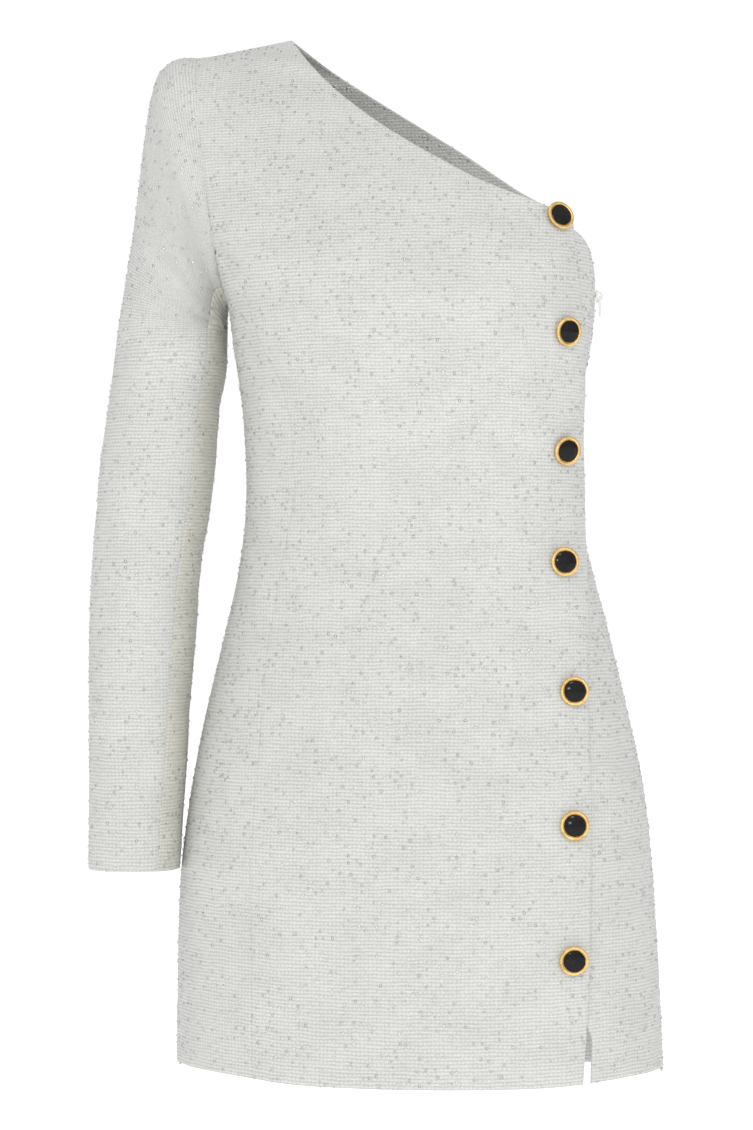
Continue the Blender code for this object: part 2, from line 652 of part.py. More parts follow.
def build_zip(white):
    """Slider body with its bail, and the pull tab whose cross pin hangs inside the bail."""
    seam = body_point("front", 0.0, ZIP_LEVEL)
    place = to_part((seam[0] + SLIDER_STAND, 0.0, ZIP_LEVEL))
    thick, wide, tall = SLIDER_SIZE
    data = box_mesh((0.0, -wide / 2, -tall / 2), (thick, wide / 2, tall / 2))
    slider = finish_mesh("zip_slider", data, white, place)
    arch = bmesh.new()
    outer = BAIL_INNER + BAIL_WIDTH
    steps = 8
    loops = []
    turns = [math.pi * i / steps - math.pi / 2 for i in range(steps + 1)]
    ring = [(thick + outer * math.cos(turn), outer * math.sin(turn)) for turn in turns]
    ring += [(thick + BAIL_INNER * math.cos(turn), BAIL_INNER * math.sin(turn)) for turn in turns[::-1]]
    for foot in (0, steps, steps + 1, 2 * steps + 1):
        ring[foot] = (thick - BAIL_ROOT, ring[foot][1])
    for side in (-BAIL_THICKNESS / 2, BAIL_THICKNESS / 2):
        loops.append([arch.verts.new(Vector((x, side, z)) * MM) for x, z in ring])
    count = len(loops[0])
    for i in range(count):
        j = (i + 1) % count
        arch.faces.new((loops[0][i], loops[0][j], loops[1][j], loops[1][i]))
    for loop in loops:
        for i in range(steps):
            arch.faces.new((loop[i], loop[i + 1], loop[count - 2 - i], loop[count - 1 - i]))
    bail = finish_mesh("bail_cutter", arch, white, place)
    bail.hide_render = True
    bail.display_type = "WIRE"
    join = slider.modifiers.new("join_bail", "BOOLEAN")
    join.operation = "UNION"
    join.object = bail
    pull_place = place + Vector((thick + PIN_HEIGHT, 0.0, 0.0)) * MM
    tab = bmesh.new()
    grid = []
    for z, half in PULL_ROWS:
        inner = min(PULL_RAIL_INNER, half * 0.6)
        row = [tab.verts.new(Vector((-PULL_HALF_THICKNESS, y, z)) * MM) for y in (-half, -inner, inner, half)]
        grid.append(row)
    faces = []
    for number, (high, low) in enumerate(zip(grid, grid[1:])):
        for i in range(3):
            if i == 1 and number == 1:
                continue
            faces.append(tab.faces.new((high[i], high[i + 1], low[i + 1], low[i])))
    moved = bmesh.ops.extrude_face_region(tab, geom=faces)["geom"]
    verts = [item for item in moved if isinstance(item, bmesh.types.BMVert)]
    bmesh.ops.translate(tab, verts=verts, vec=Vector((2 * PULL_HALF_THICKNESS * MM, 0, 0)))
    finish_mesh("zip_pull_tab", tab, white, pull_place)


def build_dress():
    ivory = make_material("ivory_cloth", (0.70, 0.70, 0.66), 0.75)
    cream = make_material("cream_cloth", (0.66, 0.65, 0.58), 0.75)
    gold = make_material("gold_metal", (0.80, 0.58, 0.25), 0.25, 1.0)
    black = make_material("black_gloss", (0.01, 0.01, 0.012), 0.12)
    white = make_material("white_zip", (0.80, 0.80, 0.78), 0.35)
    cloth_wall("front_panel", *panel_grid("front", front_panel_rows(), 16, lifted=True, crowding=1.5), ivory)
    cloth_wall("side_front_right", *panel_grid("front", side_right_rows(), 4), ivory)
    cloth_wall("side_front_left", *panel_grid("front", side_left_rows(), 6), ivory)
    cloth_wall("back_panel", *panel_grid("back", back_rows(), 16), ivory)
    cloth_wall("sleeve_top", *sleeve_grid("top"), ivory)
    cloth_wall("sleeve_under", *sleeve_grid("under"), cream)
    build_buttons(gold, black)
    build_zip(white)


clear_scene()
build_dress()
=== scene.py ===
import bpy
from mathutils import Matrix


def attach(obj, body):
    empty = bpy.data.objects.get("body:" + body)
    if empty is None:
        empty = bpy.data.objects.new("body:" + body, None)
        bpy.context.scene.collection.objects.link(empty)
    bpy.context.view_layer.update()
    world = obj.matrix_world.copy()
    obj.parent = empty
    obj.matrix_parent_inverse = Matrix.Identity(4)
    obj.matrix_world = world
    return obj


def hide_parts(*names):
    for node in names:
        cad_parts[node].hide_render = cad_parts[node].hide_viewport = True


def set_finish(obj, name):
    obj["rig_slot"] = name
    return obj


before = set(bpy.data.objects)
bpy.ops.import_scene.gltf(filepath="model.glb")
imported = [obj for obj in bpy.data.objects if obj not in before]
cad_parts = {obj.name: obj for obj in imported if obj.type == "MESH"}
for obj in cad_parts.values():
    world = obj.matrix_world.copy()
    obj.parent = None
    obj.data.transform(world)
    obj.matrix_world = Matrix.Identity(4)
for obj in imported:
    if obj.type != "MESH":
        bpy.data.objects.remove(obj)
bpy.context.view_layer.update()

import math

import bmesh
import bpy
import numpy as np
from mathutils import Matrix, Vector

# Front panel: the wide piece between the bust seam and the buttoned edge, which laps over the
# wearer's left side. It is cut in thick ivory cloth with sequins woven in, pressed smooth over the
# bust, and its hem is turned up. Millimetres, with heights measured up from the front hem.
MM = 0.001
WALL = 1.9
SEAM_GAP = 0.0
OVERLAP_FLAT = 14.0
OVERLAP_BLEND = 38.0
HOLD_POINT = np.array((-142.0, 15.0, 837.0))
BACK_HEM_DROP = 15.0
HEM_DROP_FADE = 300.0
LIFT_TOP = 705.0
SHOULDER_DROP = 14.5
SHOULDER_DROP_START = 740.0
SHOULDER_NECK_X = -103.0
SHOULDER_LENGTH = 78.0
SHOULDER_LEVEL = 846.5
SHOULDER_LAP = 0.25
ROUNDNESS_BACK = 2.2
RING_STEPS = 48
HEM_COLUMNS = ("share", "lift")
HEM_ROWS = ((0.0, 3.0), (0.07, 7.0), (0.14, 7.0), (0.24, 4.0), (0.34, 1.0), (0.5, 0.0), (0.66, 1.0),
            (0.8, 6.0), (0.92, 7.0), (1.0, 1.0))
BODY_COLUMNS = ("height", "middle", "left", "right", "front", "back", "shift", "corner")
BODY_ROWS = (
    (0.0, 5.6, 198.0, 200.5, 130.0, 129.0, 0.0, 2.7),
    (87.0, 4.0, 196.0, 198.5, 129.0, 128.0, 0.0, 2.7),
    (166.0, 2.6, 192.4, 194.0, 126.0, 126.0, 0.0, 2.7),
    (223.0, 3.0, 186.3, 187.0, 122.0, 124.0, 0.0, 2.7),
    (295.0, 2.0, 172.5, 172.5, 114.0, 118.0, 2.0, 2.7),
    (335.0, 2.0, 163.0, 163.0, 109.0, 112.0, 3.0, 2.8),
    (370.0, 1.8, 154.5, 154.5, 104.0, 104.0, 4.0, 3.0),
    (400.0, 1.0, 147.0, 147.0, 100.0, 97.0, 4.0, 3.2),
    (441.0, 0.0, 138.5, 140.0, 96.0, 89.0, 3.0, 3.5),
    (477.0, -0.3, 135.5, 137.8, 95.0, 86.0, 2.0, 3.7),
    (519.0, -0.8, 136.0, 138.8, 101.0, 87.0, 1.0, 3.6),
    (555.0, -1.2, 139.8, 141.6, 111.0, 90.0, 0.0, 3.4),
    (587.0, -1.5, 146.0, 146.0, 120.0, 93.0, 0.0, 3.0),
    (620.0, -1.9, 150.0, 150.0, 124.0, 96.0, 0.0, 2.8),
    (650.0, -2.0, 151.0, 162.0, 121.0, 98.0, 0.0, 2.6),
    (700.0, -2.0, 150.0, 188.0, 104.0, 97.0, 4.0, 2.4),
    (740.0, -2.0, 156.0, 207.0, 84.0, 90.0, 8.0, 2.3),
    (770.0, -2.0, 162.0, 220.0, 67.0, 79.0, 11.0, 2.2),
    (795.0, -2.0, 168.0, 229.0, 52.0, 65.0, 13.0, 2.2),
    (815.0, -2.0, 172.0, 236.0, 38.0, 49.0, 14.0, 2.2),
    (832.0, -2.0, 175.0, 239.0, 25.0, 33.0, 15.0, 2.2),
    (841.5, -2.0, 178.0, 240.0, 13.0, 18.0, 15.0, 2.2),
    (846.5, -2.0, 180.0, 240.0, 0.2, 0.2, 15.0, 2.2),
)
SEAM_COLUMNS = ("height", "overlap_from_left", "princess_from_right", "stand_off")
SEAM_ROWS = (
    (0.0, 134.0, 139.0, 3.0), (51.0, 128.0, 138.0, 3.0), (88.0, 124.0, 137.0, 3.0),
    (207.0, 110.5, 126.0, 3.0), (309.0, 85.0, 108.0, 3.0), (350.0, 73.0, 96.0, 3.4),
    (414.0, 49.0, 90.0, 5.0), (477.0, 29.0, 94.0, 7.0), (547.0, 38.0, 98.0, 6.0),
    (600.0, 61.0, 84.0, 3.6), (630.0, 69.0, 74.0, 3.0), (692.0, 68.0, 60.0, 3.0),
)
FRONT_NECK = ((67.5, 689.0), (74.0, 692.0), (88.5, 697.0), (115.5, 709.0), (141.0, 720.0),
              (153.5, 728.0), (179.0, 744.0), (199.5, 760.0), (217.5, 774.0), (236.5, 790.5),
              (255.0, 809.0), (264.5, 822.5), (274.0, 836.5), (281.0, 846.5))
UNDERARM = (-152.4, 2.0, 625.0)
SHOULDER_POINT = (-180.0, 15.0, 832.0)
ARMHOLE_HALF_DEPTH = 64.0
FRONT_SEAM_ANGLE = (150.0, 130.0)
BACK_SEAM_ANGLE = (-150.0, -140.0)
TOP_SLEEVE_COLUMNS = 22
UNDER_SLEEVE_COLUMNS = 6
PRINCESS_TOP_STEP = 2
LOWER_LEVELS = (0.0, 18.0, 36.0, 51.0, 88.0, 127.0, 166.0, 205.0, 245.0, 290.0, 335.0, 370.0,
                405.0, 441.0, 477.0, 519.0, 555.0, 587.0, 606.0)
CELL = 4.5
EDGE_STEPS = (0.5, 1.1, 1.9, 3.0)
EDGE_ROLL = 0.4
EDGE_ROLL_WIDTH = 1.3
SEAM_DIP = 0.2
SEAM_DIP_WIDTH = 4.0
HEM_BAND = 53.0
HEM_BAND_STEP = 0.45

# Soft troughs and ridges of the front: start, end, height, width and sideways bow
FRONT_CREASES = (
    ((-140.0, 612.0), (-66.0, 500.0), -2.6, 15.0, 6.0),
    ((-128.0, 640.0), (-30.0, 540.0), -1.5, 19.0, -7.0),
    ((-137.0, 560.0), (-92.0, 455.0), -2.0, 12.0, 5.0),
    ((-134.0, 520.0), (-60.0, 470.0), 1.1, 10.0, -3.0),
    ((-118.0, 690.0), (-60.0, 625.0), -1.3, 15.0, 4.0),
    ((-120.0, 478.0), (-20.0, 462.0), -1.2, 10.0, -3.0),
    ((-20.0, 505.0), (78.0, 530.0), -1.2, 14.0, 4.0),
    ((30.0, 455.0), (110.0, 470.0), -0.9, 9.0, 2.0),
    ((-60.0, 375.0), (30.0, 352.0), -1.2, 17.0, 5.0),
    ((60.0, 600.0), (118.0, 566.0), -1.1, 12.0, 3.0),
    ((-150.0, 330.0), (-70.0, 395.0), -1.4, 15.0, -5.0),
    ((89.0, 322.0), (91.0, 62.0), -0.5, 3.2, 1.0),
    ((-96.0, 240.0), (-104.0, 70.0), 0.9, 16.0, 3.0),
    ((10.0, 210.0), (26.0, 60.0), -0.8, 22.0, -4.0),
    ((-40.0, 690.0), (60.0, 655.0), -0.8, 18.0, 6.0),
    ((-70.0, 800.0), (-10.0, 745.0), -0.7, 16.0, 3.0),
)


def smooth_column(rows, columns, name, at):
    """One column of a table at a place between its rows, along a smooth curve."""
    order = columns.index(name)
    places = [row[0] for row in rows]
    values = [row[order] for row in rows]
    if at <= places[0]:
        return values[0]
    if at >= places[-1]:
        return values[-1]
    k = max(i for i, place in enumerate(places) if place <= at)
    steps = [places[i + 1] - places[i] for i in range(len(places) - 1)]
    slopes = [(values[i + 1] - values[i]) / steps[i] for i in range(len(steps))]

    def tangent(i):
        if i == 0:
            return slopes[0]
        if i == len(places) - 1:
            return slopes[-1]
        if slopes[i - 1] * slopes[i] <= 0:
            return 0.0
        return 2 * slopes[i - 1] * slopes[i] / (slopes[i - 1] + slopes[i])

    t = (at - places[k]) / steps[k]
    rise = values[k] * (1 + 2 * t) * (1 - t) ** 2 + values[k + 1] * t * t * (3 - 2 * t)
    bend = tangent(k) * t * (1 - t) ** 2 - tangent(k + 1) * t * t * (1 - t)
    return rise + steps[k] * bend


def body_value(name, level):
    return smooth_column(BODY_ROWS, BODY_COLUMNS, name, level)


def seam_value(name, level):
    return smooth_column(SEAM_ROWS, SEAM_COLUMNS, name, level)


ring_store = {}


def body_ring(side, level):
    """Half ring of the body at a level, from the wearer's left to right, with its lengths."""
    key = (side, round(level, 4))
    if key not in ring_store:
        middle = body_value("middle", level)
        shift = body_value("shift", level)
        depth = -body_value("front", level) if side == "front" else body_value("back", level)
        points = []
        for i in range(2 * RING_STEPS + 1):
            angle = math.pi * i / (2 * RING_STEPS)
            on_left = i <= RING_STEPS
            reach = body_value("left" if on_left else "right", level)
            power = ROUNDNESS_BACK
            if side == "front" and on_left:
                power = body_value("corner", level)
            across = abs(math.cos(angle)) ** (2 / power) * reach * (1 if on_left else -1)
            points.append((middle + across, shift + math.sin(angle) ** (2 / power) * depth))
        points = np.array(points)
        lengths = np.concatenate(([0.0], np.cumsum(np.hypot(*np.diff(points, axis=0).T))))
        ring_store[key] = (points, lengths)
    return ring_store[key]


def girth(side, level):
    return body_ring(side, level)[1][-1]


def shoulder_drop(x, level):
    fade = max(0.0, (level - SHOULDER_DROP_START) / (SHOULDER_LEVEL - SHOULDER_DROP_START))
    along = min(1.0, max(0.0, (SHOULDER_NECK_X - x) / SHOULDER_LENGTH))
    return SHOULDER_DROP * fade * fade * along


def body_point(side, share, level):
    """Point of the outer cloth: share runs from the wearer's left side seam to the right one."""
    points, lengths = body_ring(side, level)
    at = share * lengths[-1]
    x = np.interp(at, lengths, points[:, 0])
    y = np.interp(at, lengths, points[:, 1])
    height = level - shoulder_drop(x, level)
    if side == "back" and level < HEM_DROP_FADE:
        fade = (1 - level / HEM_DROP_FADE) ** 2
        height -= BACK_HEM_DROP * fade * math.sin(math.pi * min(1.0, max(0.0, share))) ** 2
    if side == "front" and level < HEM_DROP_FADE:
        height += smooth_column(HEM_ROWS, HEM_COLUMNS, "lift", share) * (1 - level / HEM_DROP_FADE) ** 2
    return np.array((x, y, height))


def share_at_x(side, x, level):
    points, lengths = body_ring(side, level)
    return float(np.interp(-x, -points[:, 0], lengths) / lengths[-1])


def body_normal(side, share, level):
    """Outward direction of the cloth."""
    low = max(0.0, share - 0.01)
    high = min(1.0, share + 0.01)
    across = body_point(side, high, level) - body_point(side, low, level)
    below = max(0.0, level - 3.0)
    above = min(SHOULDER_LEVEL, level + 3.0)
    up = body_point(side, share, above) - body_point(side, share, below)
    normal = np.cross(up, across) if side == "front" else np.cross(across, up)
    normal = normal / np.linalg.norm(normal)
    if share < 0.002 or share > 0.998:
        normal[1] = 0.0
    if level > SHOULDER_LEVEL - 1.0:
        normal[:2] = 0.0
    return normal / np.linalg.norm(normal)


def column_angles(part, place):
    """Angles of a sleeve piece's columns at a place along the sleeve, 0 to 1."""
    front = FRONT_SEAM_ANGLE[0] + (FRONT_SEAM_ANGLE[1] - FRONT_SEAM_ANGLE[0]) * place
    back = BACK_SEAM_ANGLE[0] + (BACK_SEAM_ANGLE[1] - BACK_SEAM_ANGLE[0]) * place
    first, last = (back, front) if part == "top" else (front, back + 360.0)
    count = TOP_SLEEVE_COLUMNS if part == "top" else UNDER_SLEEVE_COLUMNS
    return [first + (last - first) * i / count for i in range(count + 1)]


def tilted_oval(inner, outer, front, back, angle):
    turn = math.radians(angle)
    inner = np.array(inner)
    outer = np.array(outer)
    power = 2 / 2.25
    along = math.copysign(abs(math.cos(turn)) ** power, math.cos(turn))
    aside = math.copysign(abs(math.sin(turn)) ** power, math.sin(turn))
    reach = front if aside > 0 else back
    return (inner + outer) / 2 + (outer - inner) / 2 * along + np.array((0.0, -reach * aside, 0.0))


def armhole_point(angle):
    return tilted_oval(UNDERARM, SHOULDER_POINT, ARMHOLE_HALF_DEPTH, ARMHOLE_HALF_DEPTH, angle)


def armhole_end(side, angle):
    """Row end on the armhole: its share, its level and the step to the seam."""
    target = armhole_point(angle)
    level = target[2]
    for _ in range(4):
        level = min(SHOULDER_LEVEL, target[2] + shoulder_drop(target[0], level))
    share = 1.0 if angle == 180.0 else share_at_x(side, target[0], level)
    return share, level, target - body_point(side, share, level)


def end_between(side, first, last, t):
    share = first[0] + (last[0] - first[0]) * t
    level = first[1] + (last[1] - first[1]) * t
    start = body_point(side, first[0], first[1]) + first[2]
    finish = body_point(side, last[0], last[1]) + last[2]
    return share, level, start + (finish - start) * t - body_point(side, share, level)


def plain_end(share, level):
    return share, level, np.zeros(3)


def neck_end(side, table, share_along):
    places = [row[0] for row in table]
    levels = [row[1] for row in table]
    lengths = np.concatenate(([0.0], np.cumsum(np.hypot(np.diff(places), np.diff(levels)))))
    at = share_along * lengths[-1]
    level = float(np.interp(at, lengths, levels))
    return plain_end(float(np.interp(at, lengths, places)) / girth(side, level), level)


def overlap_share(level):
    return seam_value("overlap_from_left", level) / girth("front", level)


def princess_share(level):
    return 1 - seam_value("princess_from_right", level) / girth("front", level)


def overlap_rise(share, level):
    beyond = (share - overlap_share(level)) * girth("front", level) - OVERLAP_FLAT
    t = min(1.0, max(0.0, 1 - beyond / OVERLAP_BLEND))
    return seam_value("stand_off", level) * t * t * (3 - 2 * t)


grain_levels = np.linspace(0.0, SHOULDER_LEVEL, 200)
grain_lengths = {}
for half in ("front", "back"):
    depths = np.array([body_value(half, z) for z in grain_levels])
    runs = np.hypot(np.diff(depths), np.diff(grain_levels))
    grain_lengths[half] = np.concatenate(([0.0], np.cumsum(runs)))


def panel_grid(side, rows, columns, lifted=False, crowding=1.0):
    """Points, outward directions and grain place of a body panel from the ends of its rows."""
    grid = []
    for number, (first, last, *bow) in enumerate(rows):
        line = []
        trim = SEAM_GAP / 2 / girth(side, first[1])
        for i in range(columns + 1):
            t = (i / columns) ** crowding
            share = first[0] + trim + (last[0] - first[0] - 2 * trim) * t
            level = first[1] + (last[1] - first[1]) * t + sum(bow) * math.sin(math.pi * t)
            point = body_point(side, share, level)
            point = point + first[2] * (1 - t) ** 3 + last[2] * t ** 3
            normal = body_normal(side, share, level)
            if lifted and level < LIFT_TOP:
                point = point + normal * overlap_rise(share, level)
            if number == len(rows) - 1 and level > SHOULDER_LEVEL - 1:
                point = point + np.array((0.0, SHOULDER_LAP if side == "front" else -SHOULDER_LAP, 0.0))
            round_place = (share - share_at_x(side, 0.0, level)) * girth(side, level)
            up_place = np.interp(level, grain_levels, grain_lengths[side])
            line.append((*point, *normal, round_place, up_place, level))
        grid.append(line)
    return np.array(grid)


def curve_between(values, place):
    """Smooth curve through a grid's first axis at a place between its rows."""
    last = len(values) - 1
    k = min(last - 1, int(place))
    t = place - k
    before = values[k - 1] if k > 0 else 2 * values[0] - values[1]
    after = values[k + 2] if k + 2 <= last else 2 * values[last] - values[last - 1]
    a, b = values[k], values[k + 1]
    return 0.5 * (2 * a + (b - before) * t + (2 * before - 5 * a + 4 * b - after) * t ** 2
                  + (3 * a - before - 3 * b + after) * t ** 3)


def fine_places(grid):
    """Places along the first axis: even cells, with close steps beside both edges."""
    gaps = np.linalg.norm(np.diff(grid[:, :, :3], axis=0), axis=2)
    wide = gaps.max(axis=1)
    mean = gaps.mean(axis=1)
    places = [0.0]
    for k, gap in enumerate(wide):
        count = max(1, math.ceil(gap / CELL))
        places += [k + (i + 1) / count for i in range(count)]
    last = len(wide)
    close = [step / mean[0] for step in EDGE_STEPS] + [last - step / mean[-1] for step in EDGE_STEPS]
    room = [max(EDGE_STEPS) * 1.4 / mean[0], max(EDGE_STEPS) * 1.4 / mean[-1]]
    kept = [p for p in places if p in (0.0, last) or room[0] < p < last - room[1]]
    return sorted(kept + close)


def refine(grid):
    tall = np.array([curve_between(grid, place) for place in fine_places(grid)])
    turned = tall.transpose(1, 0, 2)
    places = fine_places(turned)
    return np.array([curve_between(turned, place) for place in places]).transpose(1, 0, 2)


def crease_height(across, up, creases):
    total = np.zeros_like(across)
    for (x0, z0), (x1, z1), height, width, bow in creases:
        length = math.hypot(x1 - x0, z1 - z0)
        along = ((across - x0) * (x1 - x0) + (up - z0) * (z1 - z0)) / length ** 2
        t = np.clip(along, 0.0, 1.0)
        side = ((across - x0) * (z1 - z0) - (up - z0) * (x1 - x0)) / length
        side = side - bow * 4 * t * (1 - t) - bow * 0.3 * np.sin(9.0 * t)
        past = np.abs(along - t) * length
        taper = 0.25 + 0.75 * np.sin(math.pi * np.clip(t, 0.03, 0.97)) ** 0.8
        spread = width * (0.8 + 0.5 * t)
        total += height * taper * np.exp(-(side ** 2 + past ** 2) / spread ** 2)
    return total


def smooth_step(value):
    t = np.clip(value, 0.0, 1.0)
    return t * t * (3 - 2 * t)


armhole_line = np.array([armhole_point(angle) for angle in range(0, 360, 6)])


def body_creases(fine, side, creases):
    """Creases of a body panel, fading towards the side seams and the armhole."""
    points = fine[:, :, :3]
    near = np.full(points.shape[:2], 1e9)
    for place in armhole_line:
        near = np.minimum(near, np.linalg.norm(points - place, axis=2))
    heights = crease_height(points[:, :, 0], fine[:, :, 8], creases)
    shift = np.interp(fine[:, :, 8], grain_levels, [body_value("shift", z) for z in grain_levels])
    inward = np.abs(points[:, :, 1] - shift)
    heights *= smooth_step((near - 4.0) / 24.0) * smooth_step((inward - 6.0) / 30.0)
    band = smooth_step((HEM_BAND - fine[:, :, 8]) / 5.0) * HEM_BAND_STEP
    return heights + band


def cloth_shell(name, fine, heights):
    """Closed thin shell on the grid: rounded edges, a slight dip along the seams, UVs in metres."""
    points = fine[:, :, :3]
    normals = fine[:, :, 3:6]
    normals = normals / np.linalg.norm(normals, axis=2, keepdims=True)
    rows, columns = points.shape[:2]
    along_rows = np.linalg.norm(np.diff(points, axis=1), axis=2)
    along_columns = np.linalg.norm(np.diff(points, axis=0), axis=2)
    left = np.concatenate((np.zeros((rows, 1)), np.cumsum(along_rows, axis=1)), axis=1)
    low = np.concatenate((np.zeros((1, columns)), np.cumsum(along_columns, axis=0)), axis=0)
    edge = np.minimum(np.minimum(left, left[:, -1:] - left), np.minimum(low, low[-1:] - low))
    roll = EDGE_ROLL * np.exp(-(edge / EDGE_ROLL_WIDTH) ** 2)
    dip = SEAM_DIP * np.exp(-(edge / SEAM_DIP_WIDTH) ** 2)
    outer = points + normals * (heights - roll - dip)[:, :, None]
    inner = points + normals * (heights - WALL + roll - dip)[:, :, None]
    to_row = lambda grid: (grid.reshape(-1, 3) - HOLD_POINT) * MM
    places = np.concatenate((to_row(outer), to_row(inner)))
    index = np.arange(rows * columns).reshape(rows, columns)
    quads = np.stack((index[:-1, :-1], index[:-1, 1:], index[1:, 1:], index[1:, :-1]), axis=2)
    quads = quads.reshape(-1, 4)
    back = quads[:, ::-1] + rows * columns
    border = list(index[0, :]) + list(index[1:, -1]) + list(index[-1, -2::-1]) + list(index[-2:0:-1, 0])
    rim = [(b, a, a + rows * columns, b + rows * columns) for a, b in zip(border, border[1:] + border[:1])]
    faces = quads.tolist() + back.tolist() + rim
    mesh = bpy.data.meshes.new(name)
    mesh.from_pydata(places.tolist(), [], faces)
    flat_places = np.tile(fine[:, :, 6:8].reshape(-1, 2) * MM, (2, 1))
    layer = mesh.uv_layers.new(name="cloth")
    corners = np.array([loop.vertex_index for loop in mesh.loops])
    layer.data.foreach_set("uv", flat_places[corners].ravel())
    mask = mesh.attributes.new("sequined", "BOOLEAN", "FACE")
    mask.data.foreach_set("value", [i < len(quads) for i in range(len(faces))])
    data = bmesh.new()
    data.from_mesh(mesh)
    bmesh.ops.recalc_face_normals(data, faces=data.faces)
    data.to_mesh(mesh)
    data.free()
    mesh.shade_smooth()
    item = bpy.data.objects.new(name, mesh)
    bpy.context.scene.collection.objects.link(item)
    spans = np.cross(points[1:, 1:] - points[:-1, :-1], points[1:, :-1] - points[:-1, 1:])
    area = np.linalg.norm(spans, axis=2).sum() / 2 * MM * MM
    width = left[:, -1].max() * MM
    length = max(low[-1, columns // 2] * MM, area / width)
    return item, (width, length), area


class Wire:
    """One value in a node tree: sums and products of values add Math nodes."""

    def __init__(self, tree, socket):
        self.tree = tree
        self.socket = socket

    @classmethod
    def node(cls, tree, kind, values=None, out=0, **settings):
        made = tree.nodes.new(kind)
        for name, value in settings.items():
            setattr(made, name, value)
        for name, value in (values or {}).items():
            if isinstance(value, Wire):
                tree.links.new(value.socket, made.inputs[name])
            else:
                made.inputs[name].default_value = value
        return cls(tree, made.outputs[out])

    def output(self, out):
        return Wire(self.tree, self.socket.node.outputs[out])

    def math(self, operation, other=0.0):
        return Wire.node(self.tree, "ShaderNodeMath", {0: self, 1: other}, operation=operation)

    def __add__(self, other):
        return self.math("ADD", other)

    def __mul__(self, other):
        return self.math("MULTIPLY", other)

    def __sub__(self, other):
        return self.math("SUBTRACT", other)

    def __rsub__(self, other):
        return Wire.node(self.tree, "ShaderNodeMath", {0: other, 1: self}, operation="SUBTRACT")

    __radd__ = __add__
    __rmul__ = __mul__

    def between(self, low, high, bottom=0.0, top=1.0):
        """Soft step from bottom to top as the value goes from low to high."""
        values = {"Value": self, "From Min": low, "From Max": high, "To Min": bottom, "To Max": top}
        return Wire.node(self.tree, "ShaderNodeMapRange", values, interpolation_type="SMOOTHSTEP")

    def mix(self, low, high):
        """Colour between two colours by this value."""
        return Wire.node(self.tree, "ShaderNodeMix", {0: self, 6: low, 7: high}, out=2, data_type="RGBA")

    def to(self, shader, name):
        self.tree.links.new(self.socket, shader.inputs[name])


def new_material(name, **constants):
    material = bpy.data.materials.new(name)
    material.use_nodes = True
    shader = material.node_tree.nodes["Principled BSDF"]
    for label, value in constants.items():
        shader.inputs[label.replace("_", " ")].default_value = value
    return material, material.node_tree, shader


def spotted_noise(tree, across, up, detail=2.0, roughness=0.5):
    place = Wire.node(tree, "ShaderNodeCombineXYZ", {0: across, 1: up})
    return Wire.node(tree, "ShaderNodeTexNoise", {"Vector": place, "Scale": 1.0, "Detail": detail,
                                                  "Roughness": roughness})


def woven_cloth(name, yarn, painted_valley_shade):
    """Thick woven cloth: cross ribs of slubbed yarn over a weaker upright grid, with fuzz. The low places between
    the yarns are painted darker, as painted shade.
    """
    material, tree, shader = new_material(name, Roughness=0.82, Sheen_Weight=0.25, Sheen_Roughness=0.5,
                                          Specular_IOR_Level=0.3)
    place = Wire.node(tree, "ShaderNodeUVMap", uv_map="cloth")
    split = Wire.node(tree, "ShaderNodeSeparateXYZ", {"Vector": place})
    across = split * 1000.0
    up = split.output(1) * 1000.0
    sway = spotted_noise(tree, across * 0.035, up * 0.035)
    shake = spotted_noise(tree, across * 0.3, up * 0.3)
    row_place = up + sway * 3.0 + shake * 1.1
    column_place = across + sway * 2.4 + shake * 1.3
    rib = (row_place * (2 * math.pi / 2.9)).math("SINE") * 0.5 + 0.5
    odd = (row_place * (1 / 2.9)).math("FLOOR") * math.pi
    float_mark = (column_place * (2 * math.pi / 3.6) + odd).math("SINE") * 0.5 + 0.5
    upright = (column_place * (2 * math.pi / 3.3)).math("SINE") * 0.5 + 0.5
    slub = spotted_noise(tree, across * 0.16, up * 0.95, 3.0, 0.6)
    fuzz = spotted_noise(tree, across * 1.6, up * 2.2, 3.0, 0.65)
    patch = spotted_noise(tree, across * 0.02, up * 0.03, 3.0, 0.6)
    yarn_height = rib * (0.5 + 0.5 * float_mark) * 0.42 + upright * 0.12 + slub * 0.6 + fuzz * 0.42
    # Colour follows the yarn's height: where the yarn lies low it takes the darker colour, painted shade between
    # the yarns.
    lit = yarn_height.between(0.45, 1.0)
    tone = lit * 0.85 + patch.between(0.35, 0.65) * 0.15
    tone.mix((*painted_valley_shade, 1.0), (*yarn, 1.0)).to(shader, "Base Color")
    (0.9 - lit * 0.2).to(shader, "Roughness")
    bump = Wire.node(tree, "ShaderNodeBump", {"Height": yarn_height, "Strength": 0.85, "Distance": 0.00075})
    bump.to(shader, "Normal")
    return material


# Yarn colour, then the darker colour painted into the valleys between the yarns as painted shade.
ivory = woven_cloth("ivory_woven_cloth", (0.74, 0.745, 0.72), (0.5, 0.505, 0.48))


def climbing_ends():
    """Ends along the bust seam above the level rows, up to the armhole."""
    angles = [angle for angle in column_angles("under", 0.0) if angle <= 180.1]
    count = len(angles) + PRINCESS_TOP_STEP - 1
    join = armhole_end("front", column_angles("top", 0.0)[-1 - PRINCESS_TOP_STEP])
    start = LOWER_LEVELS[-1]
    ends = []
    for i in range(1, count + 1):
        t = i / (count + 1)
        level = start + (join[1] - start) * t
        share = princess_share(start) + (join[0] - princess_share(start)) * t ** 1.6
        ends.append((share, level, join[2] * t * t))
    return ends, join


